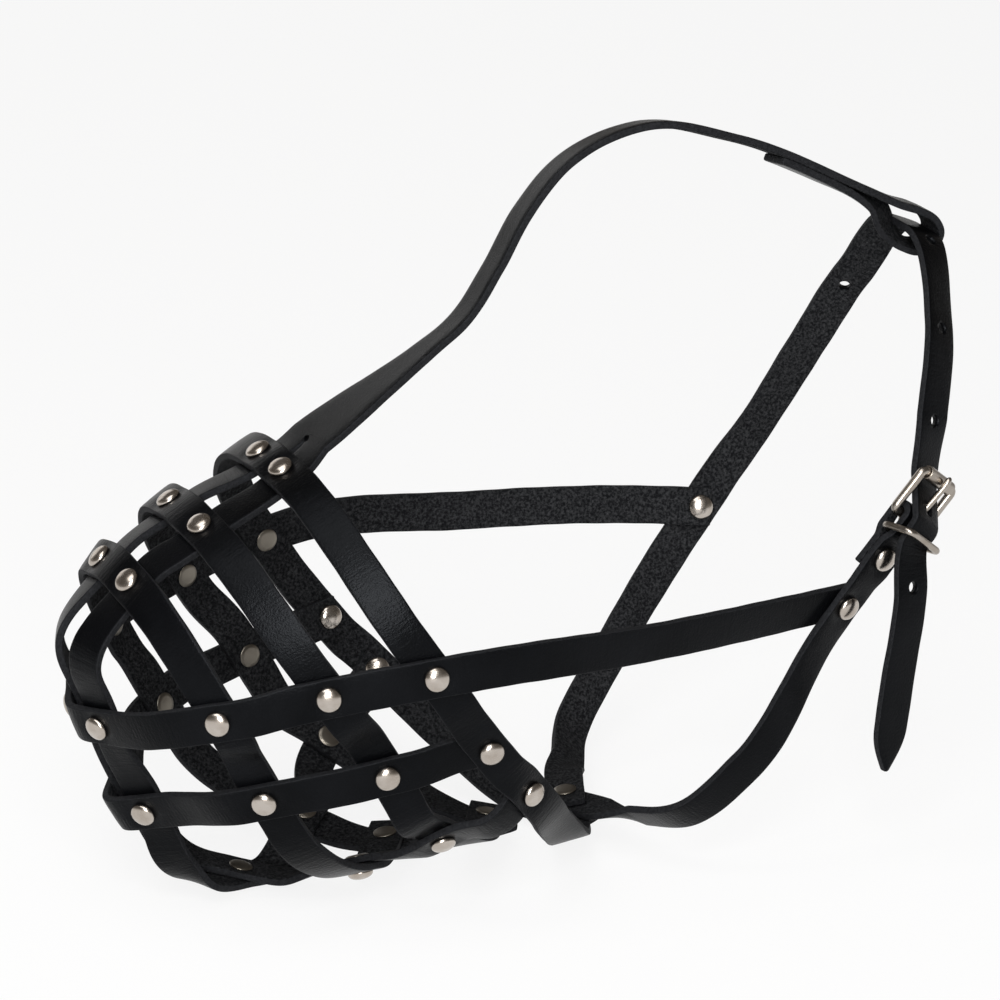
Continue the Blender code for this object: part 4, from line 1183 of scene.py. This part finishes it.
class Value:
    """An output socket that can be added, multiplied and taken from a number."""

    def __init__(self, finish, socket):
        self.finish, self.socket = finish, socket

    def _sum(self, operation, first, second):
        return self.finish.node("ShaderNodeMath", {"operation": operation}, {0: first, 1: second})["Value"]

    def __add__(self, other):
        return self._sum("ADD", self, other)

    def __radd__(self, other):
        return self._sum("ADD", other, self)

    def __rsub__(self, other):
        return self._sum("SUBTRACT", other, self)

    def __mul__(self, other):
        return self._sum("MULTIPLY", self, other)


class Finish:
    """A material's node tree, starting from an empty one with an output."""

    def __init__(self, name, tree=None):
        if tree is None:
            self.material = bpy.data.materials.new(name)
            self.material.use_nodes = True
            tree = self.material.node_tree
        self.tree = tree
        tree.nodes.clear()

    def node(self, kind, settings=None, sockets=None):
        node = self.tree.nodes.new(kind)
        for key, value in (settings or {}).items():
            setattr(node, key, value)
        for key, value in (sockets or {}).items():
            if isinstance(value, Value):
                self.tree.links.new(value.socket, node.inputs[key])
            else:
                node.inputs[key].default_value = value
        return {socket.name: Value(self, socket) for socket in node.outputs if socket.enabled}

    def mix(self, factor, first, second):
        """Colour mix: first where the factor is 0, second where it is 1."""
        return self.node("ShaderNodeMix", {"data_type": "RGBA"}, {0: factor, 6: first, 7: second})["Result"]

    def noise(self, where, scale, detail, roughness=0.5):
        return self.node("ShaderNodeTexNoise", {}, {
            "Vector": where, "Scale": scale, "Detail": detail, "Roughness": roughness})["Fac"]

    def range(self, value, low, high):
        """0 up to the low value, 1 from the high value on, and even between."""
        return self.node("ShaderNodeMapRange", {"clamp": True}, {
            "Value": value, "From Min": low, "From Max": high})["Result"]

    def stretch(self, where, by):
        return self.node("ShaderNodeVectorMath", {"operation": "MULTIPLY"}, {0: where, 1: by})["Vector"]

    def bump(self, strength, height):
        return self.node("ShaderNodeBump", {}, {
            "Strength": strength, "Distance": BUMP_DEPTH, "Height": height})["Normal"]

    def attribute(self, name):
        return self.node("ShaderNodeAttribute", {"attribute_name": name})["Fac"]

    def end(self, shader):
        self.node("ShaderNodeOutputMaterial", {}, {"Surface": shader})


print("shader helper ready")

# %% [markdown]
# Black bridle leather has three looks. The grain face is nearly black with a satin shine, broken by
# fine pores and by hair creases where the strap bends. The flesh face is dull, with short pale fibres.
# The cut edge is a shade lighter and fibrous. The attributes choose between them; noise on Object
# coordinates gives the pores, and the strap's own UV map gives creases that run across it.

# %% Leather
PORE_SCALE = 2600.0
CELL_SCALE = PORE_SCALE * 0.7
CELL_SMOOTH = 0.4
FIBRE_SCALE = 1300.0
CLOUD_SCALE = 45.0
CREASE_SCALE = 2.2
CREASE_STRETCH = (420.0, 60.0, 1.0)
GRAIN = ((0.0011, 0.0012, 0.0015, 1.0), (0.0030, 0.0032, 0.0039, 1.0))
FLESH = ((0.0032, 0.0034, 0.0040, 1.0), (0.040, 0.0408, 0.0430, 1.0))
EDGE = ((0.006, 0.0062, 0.0070, 1.0), (0.019, 0.0195, 0.0215, 1.0))
FLESH_RANGE, RIM_RANGE = (0.35, 0.75), (0.45, 0.85)
GRAIN_RANGE, FIBRE_RANGE, EDGE_RANGE = (0.35, 0.68), (0.42, 0.72), (0.3, 0.7)
EDGE_SHARE = 0.7
SATIN, CLOUD_DULL, PORE_DULL, FACE_DULL = 0.24, 0.08, 0.08, 0.46
CELL_DEPTH, PORE_DEPTH, HAIR_DEPTH, CREASE_DEPTH, FIBRE_DEPTH = 0.35, 0.4, 0.6, 1.2, 1.6
WORN_FLAT = 0.5
LEATHER_BUMP = 0.7
WAX = 0.08
WAX_TINT = (0.88, 0.93, 1.0, 1.0)


def leather_finish():
    """Dull = flesh + a share of the edge. Roughness = satin + clouds + pores + dull, each with its weight.
    Height = cells + pores + hair creases, flatter where dull, + fibres where dull."""
    finish = Finish("black_leather")
    where = finish.node("ShaderNodeTexCoord")
    spot, stock = where["Object"], where["UV"]
    flesh, rim, crease = (finish.attribute(name) for name in ("flesh", "rim", "crease"))
    cloud = finish.noise(spot, CLOUD_SCALE, 3.0)
    pores = finish.noise(spot, PORE_SCALE, 3.0, 0.6)
    cells = finish.node("ShaderNodeTexVoronoi", {"feature": "SMOOTH_F1"}, {
        "Vector": spot, "Scale": CELL_SCALE, "Smoothness": CELL_SMOOTH})["Distance"]
    fibre = finish.noise(spot, FIBRE_SCALE, 5.0, 0.7)
    hairline = finish.noise(finish.stretch(stock, CREASE_STRETCH), CREASE_SCALE, 3.0, 0.6)
    on_flesh = finish.range(flesh, *FLESH_RANGE)
    on_rim = finish.range(rim, *RIM_RANGE) * (1.0 - on_flesh)
    grain = finish.mix(finish.range(cloud, *GRAIN_RANGE), *GRAIN)
    rough = finish.mix(finish.range(fibre, *FIBRE_RANGE), *FLESH)
    edge = finish.mix(finish.range(fibre, *EDGE_RANGE), *EDGE)
    colour = finish.mix(on_rim, finish.mix(on_flesh, grain, rough), edge)
    dull = on_flesh + on_rim * EDGE_SHARE
    roughness = SATIN + cloud * CLOUD_DULL + pores * PORE_DULL + dull * FACE_DULL
    creases = hairline * (HAIR_DEPTH + crease * CREASE_DEPTH) * (1.0 - on_flesh)
    height = cells * CELL_DEPTH + pores * PORE_DEPTH + creases
    height = height * (1.0 - dull * WORN_FLAT) + fibre * dull * FIBRE_DEPTH
    finish.end(finish.node("ShaderNodeBsdfPrincipled", {}, {
        "Base Color": colour, "Roughness": roughness, "Specular IOR Level": WAX, "Specular Tint": WAX_TINT,
        "Normal": finish.bump(LEATHER_BUMP, height)})["BSDF"])
    return finish.material


leather = leather_finish()
print("leather nodes", len(leather.node_tree.nodes))

# %% [markdown]
# Nickel plate is warm, bright and slightly dull from handling: small soft dents, faint scratches and
# patches where the polish has gone. The "inner" attribute paints shade into the colour: it darkens the
# inner caps fully and the wires in part, and makes them a little duller.

# %% Nickel
PATCH_SCALE = 260.0
DENT_SCALE = 420.0
SCRATCH_SCALE = 1800.0
SCRATCH_STRETCH = (1.0, 9.0, 3.0)
PLATE = ((0.52, 0.475, 0.43, 1.0), (0.40, 0.35, 0.30, 1.0))
# Painted shade: the darker colour of the inner caps and, in part, the wires.
PAINTED_SHADE_PLATE = (0.21, 0.19, 0.16, 1.0)
PATCH_RANGE, SCRATCH_RANGE = (0.35, 0.7), (0.55, 0.8)
POLISH, PATCH_DULL, SCRATCH_DULL, INNER_DULL = 0.20, 0.08, 0.06, 0.10
SCRATCH_DEPTH = 0.15
NICKEL_BUMP = 0.12


def nickel_finish():
    """Roughness = polish + patches + scratches + inner, each with its weight; height = dents + scratches."""
    finish = Finish("nickel_plate")
    spot = finish.node("ShaderNodeTexCoord")["Object"]
    patch = finish.noise(spot, PATCH_SCALE, 3.0)
    dent = finish.noise(spot, DENT_SCALE, 1.0)
    scratch = finish.noise(finish.stretch(spot, SCRATCH_STRETCH), SCRATCH_SCALE, 2.0, 0.7)
    inner = finish.attribute("inner")
    outer = finish.mix(finish.range(patch, *PATCH_RANGE), *PLATE)
    # Painted shade: the colour goes toward the darker plate by the inner mask.
    colour = finish.mix(inner, outer, PAINTED_SHADE_PLATE)
    scratched = finish.range(scratch, *SCRATCH_RANGE)
    roughness = POLISH + patch * PATCH_DULL + scratched * SCRATCH_DULL + inner * INNER_DULL
    bump = finish.bump(NICKEL_BUMP, dent + scratch * SCRATCH_DEPTH)
    finish.end(finish.node("ShaderNodeBsdfPrincipled", {}, {
        "Base Color": colour, "Roughness": roughness, "Metallic": 1.0, "Normal": bump})["BSDF"])
    return finish.material


nickel = nickel_finish()
print("nickel nodes", len(nickel.node_tree.nodes))

# %% [markdown]
# Each piece now stands for its solid: it takes that node's place, rides on the same body and gets its
# finish, leather or nickel.

# %% Dress the solids
STRAPS = ("front_hoop", "middle_hoop", "rear_hoop", "upper_side_strap", "lower_side_strap", "forehead_strap",
          "neck_strap", "buckle_strap")
BODIES = {"buckle_frame": "buckle", "roller": "roller", "tongue": "tongue", "keeper_ring": "keeper"}
for name, item in pieces.items():
    is_strap = name in STRAPS
    item.data.materials.clear()
    item.data.materials.append(leather if is_strap else nickel)
    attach(item, BODIES.get(name, "muzzle"))
    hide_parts(name)
print("dressed", len(pieces), "of", len(frame["nodes"]), "nodes")

# %% [markdown]
# The stage is a pale floor under a soft sky with three wide lamps: a tall key lamp in front, one above
# and a weak one behind. The floor is part white glow for the eye and part plain matt, so the object's
# shadow stays faint and the background stays white. The lamps are wide, because black leather shows
# mostly the shape of what it reflects.

# %% Stage and light
FLOOR_HALF = 6.0
FLOOR_MATT = (0.9, 0.9, 0.9, 1.0)
FLOOR_GLOW = 0.86
FLOOR_DROP = 0.0005
HORIZON_TOP = 0.02
CEILING_FROM = 0.35
HORIZON_LIGHT = (0.32, 0.30, 0.28, 1.0)
CEILING_LIGHT = (0.12, 0.11, 0.10, 1.0)
LAMP_AIM = np.array((0.0, 0.0, 0.08))
STEEP = 0.9
LAMPS = {"key_lamp": ((-0.66, -1.32, 0.86), 0.60, 1.35, 34.0),
         "top_lamp": ((-0.55, -0.25, 1.45), 1.00, 0.80, 8.0),
         "back_lamp": ((-0.30, 1.60, 0.60), 1.30, 0.80, 3.4)}


def floor_finish():
    finish = Finish("pale_floor")
    path = finish.node("ShaderNodeLightPath")
    seen = path["Is Camera Ray"] + path["Is Glossy Ray"] + path["Is Transmission Ray"]
    matt = finish.node("ShaderNodeBsdfDiffuse", {}, {"Color": FLOOR_MATT})["BSDF"]
    glow = finish.node("ShaderNodeEmission", {}, {"Color": (1.0, 1.0, 1.0, 1.0), "Strength": 1.0})["Emission"]
    finish.end(finish.node("ShaderNodeMixShader", {}, {0: seen * FLOOR_GLOW, 1: matt, 2: glow})["Shader"])
    return finish.material


def add_floor():
    corners = np.array(((-1, -1, 0), (1, -1, 0), (1, 1, 0), (-1, 1, 0)), float) * FLOOR_HALF
    mesh = bpy.data.meshes.new("floor")
    mesh.from_pydata((corners + (0.0, 0.0, cad_low[2] - FLOOR_DROP)).tolist(), [], [(0, 1, 2, 3)])
    mesh.materials.append(floor_finish())
    item = show("floor", mesh)


def add_world():
    """A pale band at the horizon that falls off to a dim ceiling: grey by the height of the direction."""
    world = bpy.data.worlds.new("studio")
    world.use_nodes = True
    bpy.context.scene.world = world
    finish = Finish("studio", world.node_tree)
    toward = finish.node("ShaderNodeTexCoord")["Generated"]
    height = finish.node("ShaderNodeSeparateXYZ", {}, {0: toward})["Z"]
    colour = finish.mix(finish.range(height, HORIZON_TOP, CEILING_FROM), HORIZON_LIGHT, CEILING_LIGHT)
    glow = finish.node("ShaderNodeBackground", {}, {"Color": colour, "Strength": 1.0})
    finish.node("ShaderNodeOutputWorld", {}, {"Surface": glow["Background"]})


def add_lamp(name, place, width, height, power):
    """A rectangle that faces the aim point. Its width lies level, or square to +Y for a steep lamp."""
    data = bpy.data.lights.new(name, "AREA")
    data.shape, data.size, data.size_y, data.energy = "RECTANGLE", width, height, power
    item = show(name, data)
    back = unit(np.array(place) - LAMP_AIM)
    right = unit(np.cross((0.0, 1.0, 0.0) if abs(back[2]) > STEEP else (0.0, 0.0, 1.0), back))
    stand(item, right, np.cross(back, right), back, place)


add_floor()
add_world()
for name, lamp in LAMPS.items():
    add_lamp(name, *lamp)
bpy.context.scene.view_settings.view_transform = "Standard"
print("lamps", len(LAMPS))

# %% Update the scene
bpy.context.view_layer.update()
